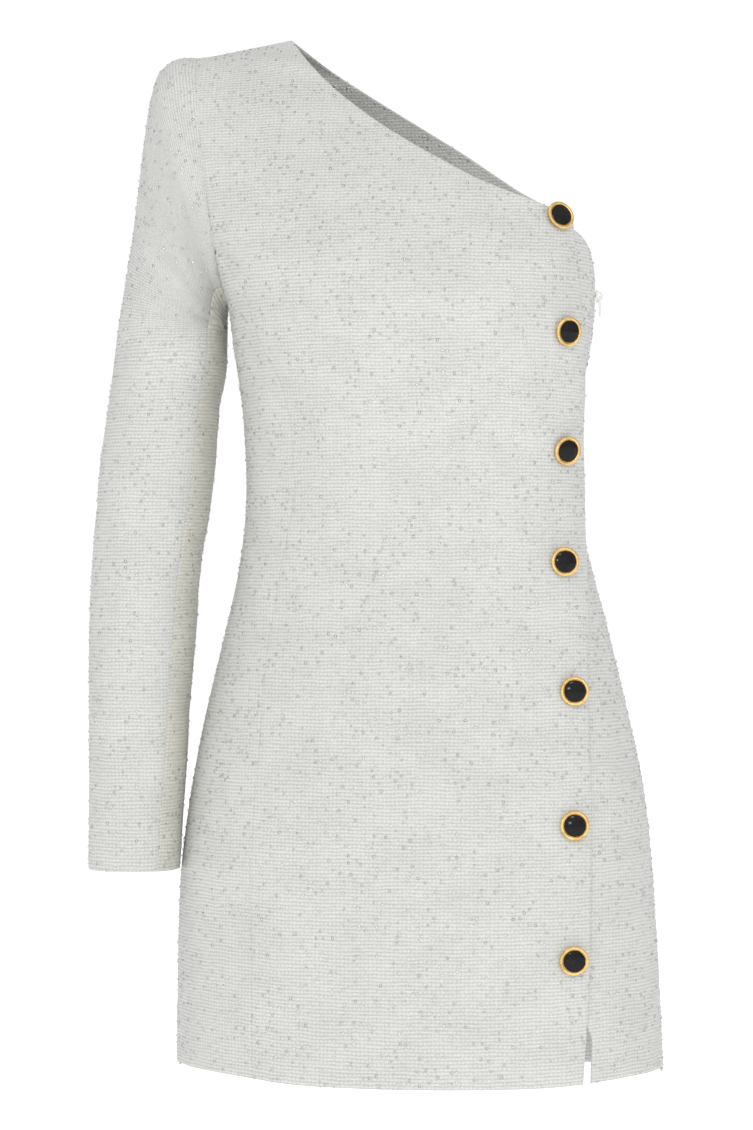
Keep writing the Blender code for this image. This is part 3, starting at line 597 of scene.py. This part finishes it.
def front_panel_rows():
    rows = [(plain_end(overlap_share(z), z), plain_end(princess_share(z), z)) for z in LOWER_LEVELS]
    climb, _ = climbing_ends()
    angles = column_angles("top", 0.0)[::-1]
    middle = TOP_SLEEVE_COLUMNS // 2
    lefts = climb + [armhole_end("front", angle) for angle in angles[PRINCESS_TOP_STEP:middle + 1]]
    top = FRONT_NECK[0][1]
    start = LOWER_LEVELS[-1]
    levels = [start + (top - start) * i / len(climb) for i in range(1, len(climb))]
    rights = [plain_end(overlap_share(z), z) for z in levels]
    rest = len(lefts) - len(rights)
    rights += [neck_end("front", FRONT_NECK, i / (rest - 1)) for i in range(rest)]
    return rows + list(zip(rights, lefts))


cloth_pieces = {}


def keep_cloth(name, fine, heights, material, slot):
    item, flat, area = cloth_shell(name + "_cloth", fine, heights)
    item.data.materials.append(material)
    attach(item, "dress")
    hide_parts(name)
    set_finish(item, slot)
    cloth_pieces[name] = (item, flat, area)
    return item


fine = refine(panel_grid("front", front_panel_rows(), 16, lifted=True, crowding=1.5))
keep_cloth("front_panel", fine, body_creases(fine, "front", FRONT_CREASES), ivory, "ivory_cloth")

# Right side front: the narrow piece from the bust seam to the side seam, in the same cloth. It is
# seamed to the front panel, the back and the sleeve, and the drag lines of the underarm cross it.


def side_right_rows():
    rows = [(plain_end(princess_share(z), z), plain_end(1.0, z)) for z in LOWER_LEVELS]
    climb, join = climbing_ends()
    angles = [angle for angle in column_angles("under", 0.0)[::-1] if angle <= 180.1]
    angles += column_angles("top", 0.0)[::-1][1:PRINCESS_TOP_STEP]
    lasts = [armhole_end("front", angle) for angle in angles]
    rows += list(zip(climb, lasts))
    near = end_between("front", climb[-1], join, 0.7)
    far = end_between("front", lasts[-1], join, 0.7)
    return rows + [(near, far)]


fine = refine(panel_grid("front", side_right_rows(), 4))
keep_cloth("side_front_right", fine, body_creases(fine, "front", FRONT_CREASES), ivory, "ivory_cloth")

# Left side front: the piece that runs under the buttoned edge to the left side seam. It is the
# same cloth, its top edge is the open armhole, and the slit above the hem shows its front edge.
TUCK_COLUMNS = ("height", "under_the_overlap")
TUCK_ROWS = ((0.0, -8.0), (36.0, -6.0), (58.0, 5.0), (85.0, 12.0), (692.0, 12.0))
LEFT_SEAM_TOP = 637.0
LEFT_ARMHOLE_BOW = 9.0


def tucked_share(level):
    tuck = smooth_column(TUCK_ROWS, TUCK_COLUMNS, "under_the_overlap", level)
    return (seam_value("overlap_from_left", level) + tuck) / girth("front", level)


def side_left_rows():
    rows = [(plain_end(0.0, z), plain_end(tucked_share(z), z)) for z in LOWER_LEVELS]
    start = LOWER_LEVELS[-1]
    for i in range(1, 6):
        low = start + (LEFT_SEAM_TOP - start) * i / 5
        high = start + (FRONT_NECK[0][1] - 3.0 - start) * i / 5
        rows.append((plain_end(0.0, low), plain_end(tucked_share(high), high), LEFT_ARMHOLE_BOW * (i / 5) ** 2))
    return rows


fine = refine(panel_grid("front", side_left_rows(), 6))
keep_cloth("side_front_left", fine, body_creases(fine, "front", FRONT_CREASES), ivory, "ivory_cloth")

# Back: one piece from side seam to side seam, with the slanting neck edge whose inside shows above
# the front. It is made and worn as the front is, so it has like soft creases at the waist.
BACK_NECK = ((0.0, 637.0), (17.0, 652.0), (36.5, 670.0), (60.0, 691.0), (89.5, 712.0),
             (122.5, 730.0), (166.5, 761.0), (208.0, 788.0), (233.0, 805.5), (255.0, 822.5),
             (275.5, 839.0), (281.0, 846.5))
BACK_CREASES = (
    ((-128.0, 600.0), (-52.0, 520.0), -2.2, 14.0, -5.0),
    ((-120.0, 500.0), (-18.0, 478.0), -1.9, 10.0, 4.0),
    ((-104.0, 462.0), (12.0, 446.0), -1.3, 9.0, -3.0),
    ((22.0, 500.0), (112.0, 486.0), -1.7, 11.0, -4.0),
    ((30.0, 458.0), (104.0, 436.0), -1.2, 9.0, 3.0),
    ((104.0, 590.0), (44.0, 540.0), -1.4, 14.0, 4.0),
    ((-90.0, 405.0), (-20.0, 372.0), -1.2, 15.0, 4.0),
    ((40.0, 400.0), (108.0, 352.0), -1.1, 16.0, -4.0),
    ((-3.0, 440.0), (2.0, 300.0), 0.8, 15.0, 3.0),
    ((-80.0, 230.0), (-92.0, 60.0), 0.9, 18.0, 3.0),
    ((70.0, 210.0), (84.0, 60.0), -0.9, 20.0, -4.0),
    ((-110.0, 730.0), (-70.0, 650.0), -1.1, 15.0, 4.0),
    ((-20.0, 690.0), (60.0, 650.0), -0.8, 17.0, -4.0),
)


def back_rows():
    rows = [(plain_end(0.0, z), plain_end(1.0, z)) for z in LOWER_LEVELS]
    angles = [angle for angle in column_angles("under", 0.0) if angle > 179.9]
    angles += [angle + 360 for angle in column_angles("top", 0.0)[1:TOP_SLEEVE_COLUMNS // 2 + 1]]
    lasts = [armhole_end("back", angle) for angle in angles]
    start = LOWER_LEVELS[-1]
    firsts = [plain_end(0.0, start + (LEFT_SEAM_TOP - start) * t) for t in (0.4, 0.75)]
    rest = len(lasts) - len(firsts)
    firsts += [neck_end("back", BACK_NECK, i / (rest - 1)) for i in range(rest)]
    return rows + list(zip(firsts, lasts))


fine = refine(panel_grid("back", back_rows(), 16))
back_cloth = keep_cloth("back_panel", fine, body_creases(fine, "back", BACK_CREASES), ivory, "ivory_cloth")

# Sleeve: a wide top piece and a narrow under piece, seamed along the front and the back of the arm
# and set into the armhole over a squared shoulder. It bends a little and folds softly at the elbow.
CAP_COLUMNS = ("x", "height", "front", "back")
CAP_ROWS = (
    (-195.0, 831.5, 66.0, 64.0), (-205.0, 826.5, 67.0, 64.0), (-213.5, 816.0, 67.0, 64.0),
    (-219.5, 792.0, 66.0, 63.0), (-224.0, 762.0, 64.0, 61.0), (-229.0, 722.0, 61.0, 59.0),
    (-234.0, 683.0, 59.0, 57.0), (-239.5, 648.0, 58.0, 56.0),
)
ARM_COLUMNS = ("height", "middle", "half_width", "forward", "half_depth")
ARM_ROWS = (
    (605.0, -201.2, 44.6, -8.0, 57.0), (572.0, -203.6, 46.0, -7.0, 57.0),
    (542.0, -207.9, 45.6, -5.0, 56.5), (499.0, -212.1, 46.8, -1.0, 56.0),
    (456.0, -215.8, 46.2, 4.0, 54.0), (407.0, -220.3, 44.4, 10.0, 51.0),
    (359.0, -222.2, 43.4, 16.0, 49.0), (308.0, -223.6, 41.4, 22.0, 47.0),
    (251.0, -224.0, 39.6, 29.0, 44.5), (214.0, -224.6, 38.2, 34.0, 43.0),
    (165.0, -225.2, 37.0, 41.0, 41.5),
)
SLEEVE_SEAM_TRIM = 0.0
ARMHOLE_LAP = (0.7, 0.0, 0.1)

# Creases of the sleeve: place round the arm and down from the shoulder
TOP_SLEEVE_CREASES = (
    ((60.0, 190.0), (108.0, 262.0), -1.7, 11.0, 4.0),
    ((70.0, 250.0), (112.0, 300.0), -1.4, 9.0, -3.0),
    ((30.0, 330.0), (104.0, 372.0), -1.7, 13.0, 4.0),
    ((12.0, 398.0), (98.0, 408.0), -1.2, 10.0, -3.0),
    ((44.0, 450.0), (96.0, 420.0), -1.0, 9.0, 3.0),
    ((-96.0, 300.0), (-30.0, 352.0), -1.5, 12.0, 4.0),
    ((-98.0, 380.0), (-22.0, 372.0), -1.4, 11.0, -4.0),
    ((-90.0, 440.0), (-34.0, 412.0), -1.1, 10.0, 3.0),
    ((-70.0, 180.0), (-104.0, 258.0), -1.4, 12.0, -4.0),
    ((20.0, 560.0), (44.0, 640.0), -0.8, 13.0, 3.0),
    ((-52.0, 600.0), (-34.0, 520.0), -0.8, 12.0, -3.0),
)
UNDER_SLEEVE_CREASES = (
    ((-26.0, 70.0), (24.0, 88.0), -1.5, 8.0, 2.0),
    ((-28.0, 118.0), (22.0, 108.0), -1.2, 7.0, -2.0),
    ((-26.0, 196.0), (24.0, 210.0), -1.7, 10.0, 2.0),
    ((-24.0, 244.0), (26.0, 236.0), -1.2, 9.0, -2.0),
    ((-22.0, 330.0), (22.0, 346.0), -0.8, 11.0, 2.0),
)


def sleeve_ring(number, angle):
    """Point of the sleeve's outer cloth on a numbered ring: armhole, cap, then arm."""
    first_arm = dict(zip(ARM_COLUMNS, ARM_ROWS[0]))
    if number == 0:
        return armhole_point(angle) + np.array(ARMHOLE_LAP)
    if number <= len(CAP_ROWS):
        row = dict(zip(CAP_COLUMNS, CAP_ROWS[number - 1]))
        t = number / (len(CAP_ROWS) + 1)
        low = (first_arm["middle"] + first_arm["half_width"], -first_arm["forward"], first_arm["height"])
        paths = (1 - (1 - t) ** 4, t, t ** 1.6)
        inner = [UNDERARM[i] + (low[i] - UNDERARM[i]) * paths[i] for i in range(3)]
        outer = (row["x"], SHOULDER_POINT[1] - 4.0 * t, row["height"])
        return tilted_oval(inner, outer, row["front"], row["back"], angle)
    row = dict(zip(ARM_COLUMNS, ARM_ROWS[number - len(CAP_ROWS) - 1]))
    inner = (row["middle"] + row["half_width"], -row["forward"], row["height"])
    outer = (row["middle"] - row["half_width"], -row["forward"], row["height"])
    return tilted_oval(inner, outer, row["half_depth"], row["half_depth"], angle)


def sleeve_grid(part):
    count = len(CAP_ROWS) + len(ARM_ROWS)
    grid = []
    for number in range(count + 1):
        angles = column_angles(part, number / count)
        angles[0] += SLEEVE_SEAM_TRIM
        angles[-1] -= SLEEVE_SEAM_TRIM
        line = []
        for angle in angles:
            along = sleeve_ring(min(count, number + 1), angle) - sleeve_ring(max(0, number - 1), angle)
            around = sleeve_ring(number, angle + 4.0) - sleeve_ring(number, angle - 4.0)
            normal = np.cross(along, around)
            line.append((*sleeve_ring(number, angle), *(normal / np.linalg.norm(normal)), 0.0, 0.0, 0.0))
        grid.append(line)
    grid = np.array(grid)
    middle = grid.shape[1] // 2
    runs = np.linalg.norm(np.diff(grid[:, :, :3], axis=1), axis=2)
    around = np.concatenate((np.zeros((len(grid), 1)), np.cumsum(runs, axis=1)), axis=1)
    grid[:, :, 6] = around - around[:, middle:middle + 1]
    drops = np.linalg.norm(np.diff(grid[:, middle, :3], axis=0), axis=1)
    grid[:, :, 7] = -np.concatenate(([0.0], np.cumsum(drops)))[:, None]
    return grid


def sleeve_creases(fine, creases):
    around = fine[:, :, 6]
    down = -fine[:, :, 7]
    inside = np.minimum(around - around[:, :1], around[:, -1:] - around)
    fade = smooth_step((inside - 2.0) / 16.0) * smooth_step((down - 8.0) / 30.0)
    return crease_height(around, down, creases) * fade


# The under sleeve takes a darker, warmer copy of the ivory cloth: painted shade and painted warm reflection between
# the sleeve and the dress on the inner side of the arm.
painted_shade_cream = woven_cloth("painted_shade_cream_cloth", (0.72, 0.71, 0.65), (0.48, 0.47, 0.41))
fine = refine(sleeve_grid("top"))
keep_cloth("sleeve_top", fine, sleeve_creases(fine, TOP_SLEEVE_CREASES), ivory, "ivory_cloth")
fine = refine(sleeve_grid("under"))
keep_cloth("sleeve_under", fine, sleeve_creases(fine, UNDER_SLEEVE_CREASES), painted_shade_cream, "cream_cloth")

# Buttons: seven domed black stones, each in a gold-coloured metal cup whose rim is a fluted roll.
# The cup stands on a short shank sewn to the overlapping edge, and the stone is set in its bezel.
CUP_RADIUS = 9.4
BUTTON_RADIUS = 11.7
INSET_RADIUS = 8.7
SHANK_LENGTH = 1.6
INSET_BASE = 2.9
FLUTES = 54
FLUTE_STEPS = 6
FLUTE_DEPTH = 0.26
FLUTE_TWIST = 0.55


def lathe(name, profile, sides, matrix, swell=None):
    """Closed turned piece from radius and height pairs, with an optional swell of its skin."""
    data = bmesh.new()
    rings = []
    for number, (radius, height) in enumerate(profile):
        if radius == 0.0:
            rings.append([data.verts.new(matrix @ Vector((0.0, 0.0, height * MM)))])
            continue
        ring = []
        for i in range(sides):
            turn = 2 * math.pi * i / sides
            out, up = swell(number, radius, height, turn) if swell else (radius, height)
            place = (out * math.cos(turn) * MM, out * math.sin(turn) * MM, up * MM)
            ring.append(data.verts.new(matrix @ Vector(place)))
        rings.append(ring)
    for low, high in zip(rings, rings[1:]):
        for i in range(sides):
            corners = [low[i % len(low)], low[(i + 1) % len(low)]]
            corners += [high[(i + 1) % len(high)], high[i % len(high)]]
            data.faces.new(list(dict.fromkeys(corners)))
    bmesh.ops.recalc_face_normals(data, faces=data.faces)
    mesh = bpy.data.meshes.new(name)
    data.to_mesh(mesh)
    data.free()
    mesh.shade_smooth()
    mesh.set_sharp_from_angle(angle=math.radians(50))
    item = bpy.data.objects.new(name, mesh)
    bpy.context.scene.collection.objects.link(item)
    return item


def solid_corners(node):
    return np.array([vert.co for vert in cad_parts[node].data.vertices])


def button_matrix(number):
    """Place of a button: the middle of its shank's foot, with its axis out of the cloth."""
    corners = np.unique(np.round(solid_corners(f"button_{number}_inset"), 6), axis=0)
    middle = (corners.max(axis=0) + corners.min(axis=0)) / 2
    axis = np.linalg.svd(corners - corners.mean(axis=0))[2][2]
    axis = axis * (-1 if axis[1] > 0 else 1)
    heights = (corners - middle) @ axis
    ring = corners[heights < heights.min() + 0.0004]
    centre = ring.mean(axis=0)
    base = ((ring - centre) @ axis).min()
    origin = Vector(centre) + Vector(axis) * (base - INSET_BASE * MM)
    axis = Vector(axis)
    side = axis.cross(Vector((0, 0, 1))).normalized()
    turned = Matrix((side, side.cross(axis), axis)).transposed().to_4x4()
    return Matrix.Translation(origin) @ turned


top = SHANK_LENGTH
roll_middle = (10.35, top + 1.95)
roll_profile = []
for i in range(15):
    turn = math.radians(-70 + i * 250 / 14)
    roll_profile.append((roll_middle[0] + 1.32 * math.cos(turn), roll_middle[1] + 1.32 * math.sin(turn)))
rim_profile = [(0.0, 0.0), (3.0, 0.0), (3.0, top), (CUP_RADIUS, top)] + roll_profile
ROLL_FIRST = 4
ROLL_LAST = ROLL_FIRST + len(roll_profile) - 1
rim_profile += [(9.28, top + 2.35), (9.22, top + 2.75), (9.0, top + 2.75), (8.95, top + 1.0), (0.0, top + 1.0)]


def flutes(number, radius, height, turn):
    """Twisted flutes round the roll of the rim, as on a cord."""
    if not ROLL_FIRST <= number <= ROLL_LAST:
        return radius, height
    along = (number - ROLL_FIRST) / (ROLL_LAST - ROLL_FIRST)
    wave = abs(math.cos(FLUTES / 2 * turn + FLUTE_TWIST * math.pi * (along - 0.5)))
    push = FLUTE_DEPTH * (wave ** 0.6 - 0.75) * math.sin(math.pi * min(1.0, max(0.0, along * 1.15 - 0.06)))
    away = Vector((radius - roll_middle[0], height - roll_middle[1])).normalized()
    return radius + away.x * push, height + away.y * push


inset_profile = [(0.0, INSET_BASE), (8.55, INSET_BASE), (INSET_RADIUS, INSET_BASE + 0.15),
                 (INSET_RADIUS, top + 2.45), (8.6, top + 2.68), (8.35, top + 2.86)]
for i in range(1, 11):
    share = 1 - i / 10
    inset_profile.append((8.35 * share, top + 2.86 + 1.44 * (1 - share ** 2)))

gold, tree, shader = new_material("gold_button_metal", Metallic=1.0, Coat_Weight=0.1)
place = Wire.node(tree, "ShaderNodeTexCoord", out="Object")
wear = Wire.node(tree, "ShaderNodeTexNoise", {"Vector": place, "Scale": 900.0, "Detail": 3.0})
tarnish = Wire.node(tree, "ShaderNodeTexNoise", {"Vector": place, "Scale": 160.0, "Detail": 2.0})
tarnish.between(0.35, 0.7).mix((0.90, 0.62, 0.24, 1.0), (0.68, 0.42, 0.13, 1.0)).to(shader, "Base Color")
(wear * 0.22 + 0.12).to(shader, "Roughness")
Wire.node(tree, "ShaderNodeBump", {"Height": wear, "Strength": 0.15, "Distance": 0.00005}).to(shader, "Normal")

black, tree, shader = new_material("black_button_stone", Specular_IOR_Level=0.22)
place = Wire.node(tree, "ShaderNodeTexCoord", out="Object")
haze = Wire.node(tree, "ShaderNodeTexNoise", {"Vector": place, "Scale": 420.0, "Detail": 3.0})
haze.between(0.3, 0.75).mix((0.004, 0.004, 0.005, 1.0), (0.011, 0.011, 0.012, 1.0)).to(shader, "Base Color")
(haze * 0.12 + 0.06).to(shader, "Roughness")

button_middles = []
for number in range(1, 8):
    matrix = button_matrix(number)
    button_middles.append(np.array(matrix.translation))
    rim = lathe(f"button_{number}_fluted_rim", rim_profile, FLUTES * FLUTE_STEPS, matrix, flutes)
    rim.data.materials.append(gold)
    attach(rim, "dress")
    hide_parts(f"button_{number}_rim")
    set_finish(rim, "gold_metal")
    stone = lathe(f"button_{number}_stone", inset_profile, 64, matrix)
    stone.data.materials.append(black)
    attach(stone, "dress")
    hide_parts(f"button_{number}_inset")
    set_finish(stone, "black_gloss")

# Zip: the closed slider at the top of the left side seam, with its small drop-shaped pull hanging
# on the bail. Both are die-cast metal painted white, with worn corners, and the teeth are hidden.
white, tree, shader = new_material("white_zip_paint", Coat_Weight=0.3, Coat_Roughness=0.2)
place = Wire.node(tree, "ShaderNodeTexCoord", out="Object")
speck = Wire.node(tree, "ShaderNodeTexNoise", {"Vector": place, "Scale": 1500.0, "Detail": 4.0})
speck.between(0.3, 0.7).mix((0.82, 0.82, 0.80, 1.0), (0.74, 0.74, 0.72, 1.0)).to(shader, "Base Color")
(speck * 0.2 + 0.25).to(shader, "Roughness")
Wire.node(tree, "ShaderNodeBump", {"Height": speck, "Strength": 0.2, "Distance": 0.00003}).to(shader, "Normal")


def rounded_copy(node, name, body, width):
    """Copy of a solid with its corners rounded, in white paint."""
    data = bmesh.new()
    data.from_mesh(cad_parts[node].data)
    bmesh.ops.remove_doubles(data, verts=data.verts, dist=0.00001)
    bmesh.ops.dissolve_limit(data, angle_limit=math.radians(1.0), verts=data.verts, edges=data.edges)
    bmesh.ops.recalc_face_normals(data, faces=data.faces)
    mesh = bpy.data.meshes.new(name)
    data.to_mesh(mesh)
    data.free()
    mesh.materials.clear()
    mesh.materials.append(white)
    item = bpy.data.objects.new(name, mesh)
    bpy.context.scene.collection.objects.link(item)
    bevel = item.modifiers.new("rounded_corners", "BEVEL")
    bevel.width = width
    bevel.segments = 3
    bevel.limit_method = "ANGLE"
    bevel.angle_limit = math.radians(35)
    mesh.shade_smooth()
    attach(item, body)
    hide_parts(node)
    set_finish(item, "white_zip")
    return item


rounded_copy("zip_slider", "zip_slider_painted", "dress", 0.0002)
rounded_copy("zip_pull_tab", "zip_pull_painted", "zip_pull", 0.00022)

# Sequins: small cupped discs caught under the weft all over the cloth, most of them clear and some
# silvered. The outer ring of the clear ones is coloured dark grey, as painted shade and painted dark
# reflection at their rims. They lie at slight tilts, thickly on the front and inside the neck.
SEQUIN_RADIUS = 1.0
SEQUIN_SIDES = 8
BUTTON_CLEARANCE = 0.0125

data = bmesh.new()
# The outer ring of each sequin is marked, to take the painted dark edge.
rim_layer = data.verts.layers.float.new("rim")
crown = data.verts.new((0.0, 0.0, 0.00042))
crown.normal = (0, 0, 1)
foot = data.verts.new((0.0, 0.0, 0.00012))
rings = []
for radius, height, rim in ((0.55, 0.34, 0.0), (1.0, 0.62, 1.0)):
    ring = []
    for i in range(SEQUIN_SIDES):
        turn = 2 * math.pi * i / SEQUIN_SIDES
        reach = radius * SEQUIN_RADIUS * MM
        vert = data.verts.new((reach * math.cos(turn), reach * math.sin(turn), height * MM))
        vert[rim_layer] = rim
        ring.append(vert)
    rings.append(ring)
for i in range(SEQUIN_SIDES):
    j = (i + 1) % SEQUIN_SIDES
    data.faces.new((crown, rings[0][i], rings[0][j]))
    data.faces.new((rings[0][i], rings[1][i], rings[1][j], rings[0][j]))
    data.faces.new((foot, rings[1][j], rings[1][i]))
bmesh.ops.recalc_face_normals(data, faces=data.faces)
sequin_mesh = bpy.data.meshes.new("one_sequin")
data.to_mesh(sequin_mesh)
data.free()
sequin_mesh.shade_smooth()
one_sequin = bpy.data.objects.new("one_sequin", sequin_mesh)

sequin_material, tree, shader = new_material("sequin_film", Coat_Weight=0.6, Coat_Roughness=0.08)
rim = Wire.node(tree, "ShaderNodeAttribute", out="Fac", attribute_name="rim")
shine = Wire.node(tree, "ShaderNodeAttribute", out="Fac", attribute_name="shine")
silvered = shine.between(0.4, 0.44)
# Painted shade and painted dark reflection: the outer ring of the clear sequins is coloured dark grey, while the
# silvered ones keep little of it.
edge = rim.between(0.55, 0.8) * (1 - silvered * 0.85)
face = silvered.mix((0.84, 0.84, 0.82, 1.0), (0.98, 0.98, 0.99, 1.0))
edge.mix(face, (0.3, 0.3, 0.29, 1.0)).to(shader, "Base Color")
(silvered * 0.85).to(shader, "Metallic")
(0.2 + silvered * 0.14).to(shader, "Roughness")

scatter = bpy.data.node_groups.new("scattered_sequins", "GeometryNodeTree")
sockets = {}
for label, kind in (("Cloth", "Geometry"), ("Sequin", "Object"), ("Film", "Material"), ("Spacing", "Float"),
                    ("Density", "Float"), ("Tilt", "Vector"), ("Seed", "Int")):
    sockets[label] = scatter.interface.new_socket(label, in_out="INPUT", socket_type=f"NodeSocket{kind}")
scatter.interface.new_socket("Sequins", in_out="OUTPUT", socket_type="NodeSocketGeometry")
entry = Wire.node(scatter, "NodeGroupInput")
chosen = Wire.node(scatter, "GeometryNodeInputNamedAttribute", {"Name": "sequined"}, data_type="BOOLEAN")
spots = Wire.node(scatter, "GeometryNodeDistributePointsOnFaces",
                  {"Mesh": entry.output("Cloth"), "Selection": chosen, "Distance Min": entry.output("Spacing"),
                   "Density Max": entry.output("Density"), "Seed": entry.output("Seed")},
                  distribute_method="POISSON")
shape = Wire.node(scatter, "GeometryNodeObjectInfo", {"Object": entry.output("Sequin")}, out="Geometry")
size = Wire.node(scatter, "FunctionNodeRandomValue", out=1, data_type="FLOAT")
size.socket.node.inputs[2].default_value = 0.72
size.socket.node.inputs[3].default_value = 1.16
placed = Wire.node(scatter, "GeometryNodeInstanceOnPoints",
                   {"Points": spots, "Instance": shape, "Rotation": spots.output("Rotation"), "Scale": size})
turn = Wire.node(scatter, "FunctionNodeRandomValue", out=0, data_type="FLOAT_VECTOR")
scatter.links.new(entry.output("Tilt").socket, turn.socket.node.inputs[1])
low_tilt = Wire.node(scatter, "ShaderNodeVectorMath", {0: entry.output("Tilt"), 1: (-1.0, -1.0, -1.0)},
                     operation="MULTIPLY")
scatter.links.new(low_tilt.socket, turn.socket.node.inputs[0])
tilted = Wire.node(scatter, "GeometryNodeRotateInstances", {"Instances": placed, "Rotation": turn})
luck = Wire.node(scatter, "FunctionNodeRandomValue", out=1, data_type="FLOAT")
luck.socket.node.inputs["Seed"].default_value = 5
marked = Wire.node(scatter, "GeometryNodeStoreNamedAttribute", {"Geometry": tilted, "Name": "shine", "Value": luck},
                   data_type="FLOAT", domain="INSTANCE")
real = Wire.node(scatter, "GeometryNodeRealizeInstances", {"Geometry": marked})
filmed = Wire.node(scatter, "GeometryNodeSetMaterial", {"Geometry": real, "Material": entry.output("Film")})
leave = scatter.nodes.new("NodeGroupOutput")
scatter.links.new(filmed.socket, leave.inputs["Sequins"])

INSIDE_NECK_LEVEL = 600.0
for order, (name, (item, flat, area)) in enumerate(cloth_pieces.items()):
    mesh = item.data
    centres = np.zeros(len(mesh.polygons) * 3)
    mesh.polygons.foreach_get("center", centres)
    centres = centres.reshape(-1, 3)
    marks = np.zeros(len(mesh.polygons), dtype=bool)
    mesh.attributes["sequined"].data.foreach_get("value", marks)
    for middle in button_middles:
        marks &= np.linalg.norm(centres - middle, axis=1) > BUTTON_CLEARANCE
    if name == "back_panel":
        high = centres[:, 2] > (INSIDE_NECK_LEVEL - HOLD_POINT[2]) * MM
        rim_faces = np.arange(len(marks)) >= (len(marks) - 2 * int(math.sqrt(len(marks))))
        marks |= high & ~rim_faces
    mesh.attributes["sequined"].data.foreach_set("value", marks)
    scattered = item.modifiers.new("sequins", "NODES")
    scattered.node_group = scatter
    settings = {"Sequin": one_sequin, "Film": sequin_material, "Spacing": 0.0034, "Density": 12500.0,
                "Tilt": (0.32, 0.32, math.pi), "Seed": 11 + order}
    for label, value in settings.items():
        scattered[sockets[label].identifier] = value
    depsgraph = bpy.context.evaluated_depsgraph_get()
    sequins_mesh = bpy.data.meshes.new_from_object(item.evaluated_get(depsgraph))
    item.modifiers.remove(scattered)
    sequins_mesh.name = name + "_sequins"
    sequins = bpy.data.objects.new(name + "_sequins", sequins_mesh)
    bpy.context.scene.collection.objects.link(sequins)
    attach(sequins, "dress")
    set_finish(sequins, item["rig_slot"])

# Studio: a plain pale floor well below the hem, a white surround, and large soft lights in front
# and above, with the camera level with the dress and six degrees round to its left.
floor_data = bmesh.new()
bmesh.ops.create_grid(floor_data, x_segments=2, y_segments=2, size=14.0)
floor_mesh = bpy.data.meshes.new("studio_floor")
floor_data.to_mesh(floor_mesh)
floor_data.free()
floor = bpy.data.objects.new("studio_floor", floor_mesh)
floor.location = (0.0, 0.0, -1.35)
bpy.context.scene.collection.objects.link(floor)
paper, tree, shader = new_material("pale_floor", Roughness=0.9)
place = Wire.node(tree, "ShaderNodeTexCoord", out="Object")
grain = Wire.node(tree, "ShaderNodeTexNoise", {"Vector": place, "Scale": 3.0, "Detail": 2.0})
grain.mix((0.93, 0.93, 0.93, 1.0), (0.95, 0.95, 0.95, 1.0)).to(shader, "Base Color")
shader.inputs["Emission Color"].default_value = (1.0, 1.0, 1.0, 1.0)
shader.inputs["Emission Strength"].default_value = 0.45
floor_mesh.materials.append(paper)

world = bpy.data.worlds.new("white_surround")
world.use_nodes = True
tree = world.node_tree
facing = Wire.node(tree, "ShaderNodeTexCoord", out="Generated")
sides = Wire.node(tree, "ShaderNodeSeparateXYZ", {"Vector": facing})
towards_front = (0 - sides.output(1)).between(-0.3, 1.0)
overhead = sides.output(2).between(-0.2, 1.0)
seen = Wire.node(tree, "ShaderNodeLightPath", out="Is Camera Ray")
lighting = 0.43 + towards_front * 0.44 + overhead * 0.28
strength = lighting * (1 - seen) + seen * 1.02
strength.to(tree.nodes["Background"], "Strength")
tree.nodes["Background"].inputs["Color"].default_value = (1.0, 1.0, 1.0, 1.0)
bpy.context.scene.world = world
bpy.context.scene.view_settings.view_transform = "Standard"
bpy.context.scene.view_settings.look = "None"


def soft_light(name, place, target, size, power):
    light = bpy.data.lights.new(name, "AREA")
    light.shape = "RECTANGLE"
    light.size, light.size_y = size
    light.energy = power
    item = bpy.data.objects.new(name, light)
    item.location = place
    item.rotation_euler = (Vector(target) - Vector(place)).to_track_quat("-Z", "Y").to_euler()
    bpy.context.scene.collection.objects.link(item)


soft_light("front_softbox", (0.9, -2.6, 1.3), (0.15, 0.0, -0.3), (0.6, 0.42), 10.0)
soft_light("level_softbox", (0.55, -3.4, 0.15), (0.15, 0.0, -0.4), (0.45, 0.3), 9.0)

camera_data = bpy.data.cameras.new("photo_camera")
camera_data.lens = 116.54
camera_data.sensor_width = 36.0
camera = bpy.data.objects.new("photo_camera", camera_data)
camera.location = (0.4250, -3.0018, -0.425)
camera.rotation_euler = (math.radians(90.0), 0.0, math.radians(6.0))
bpy.context.scene.collection.objects.link(camera)
bpy.context.scene.camera = camera
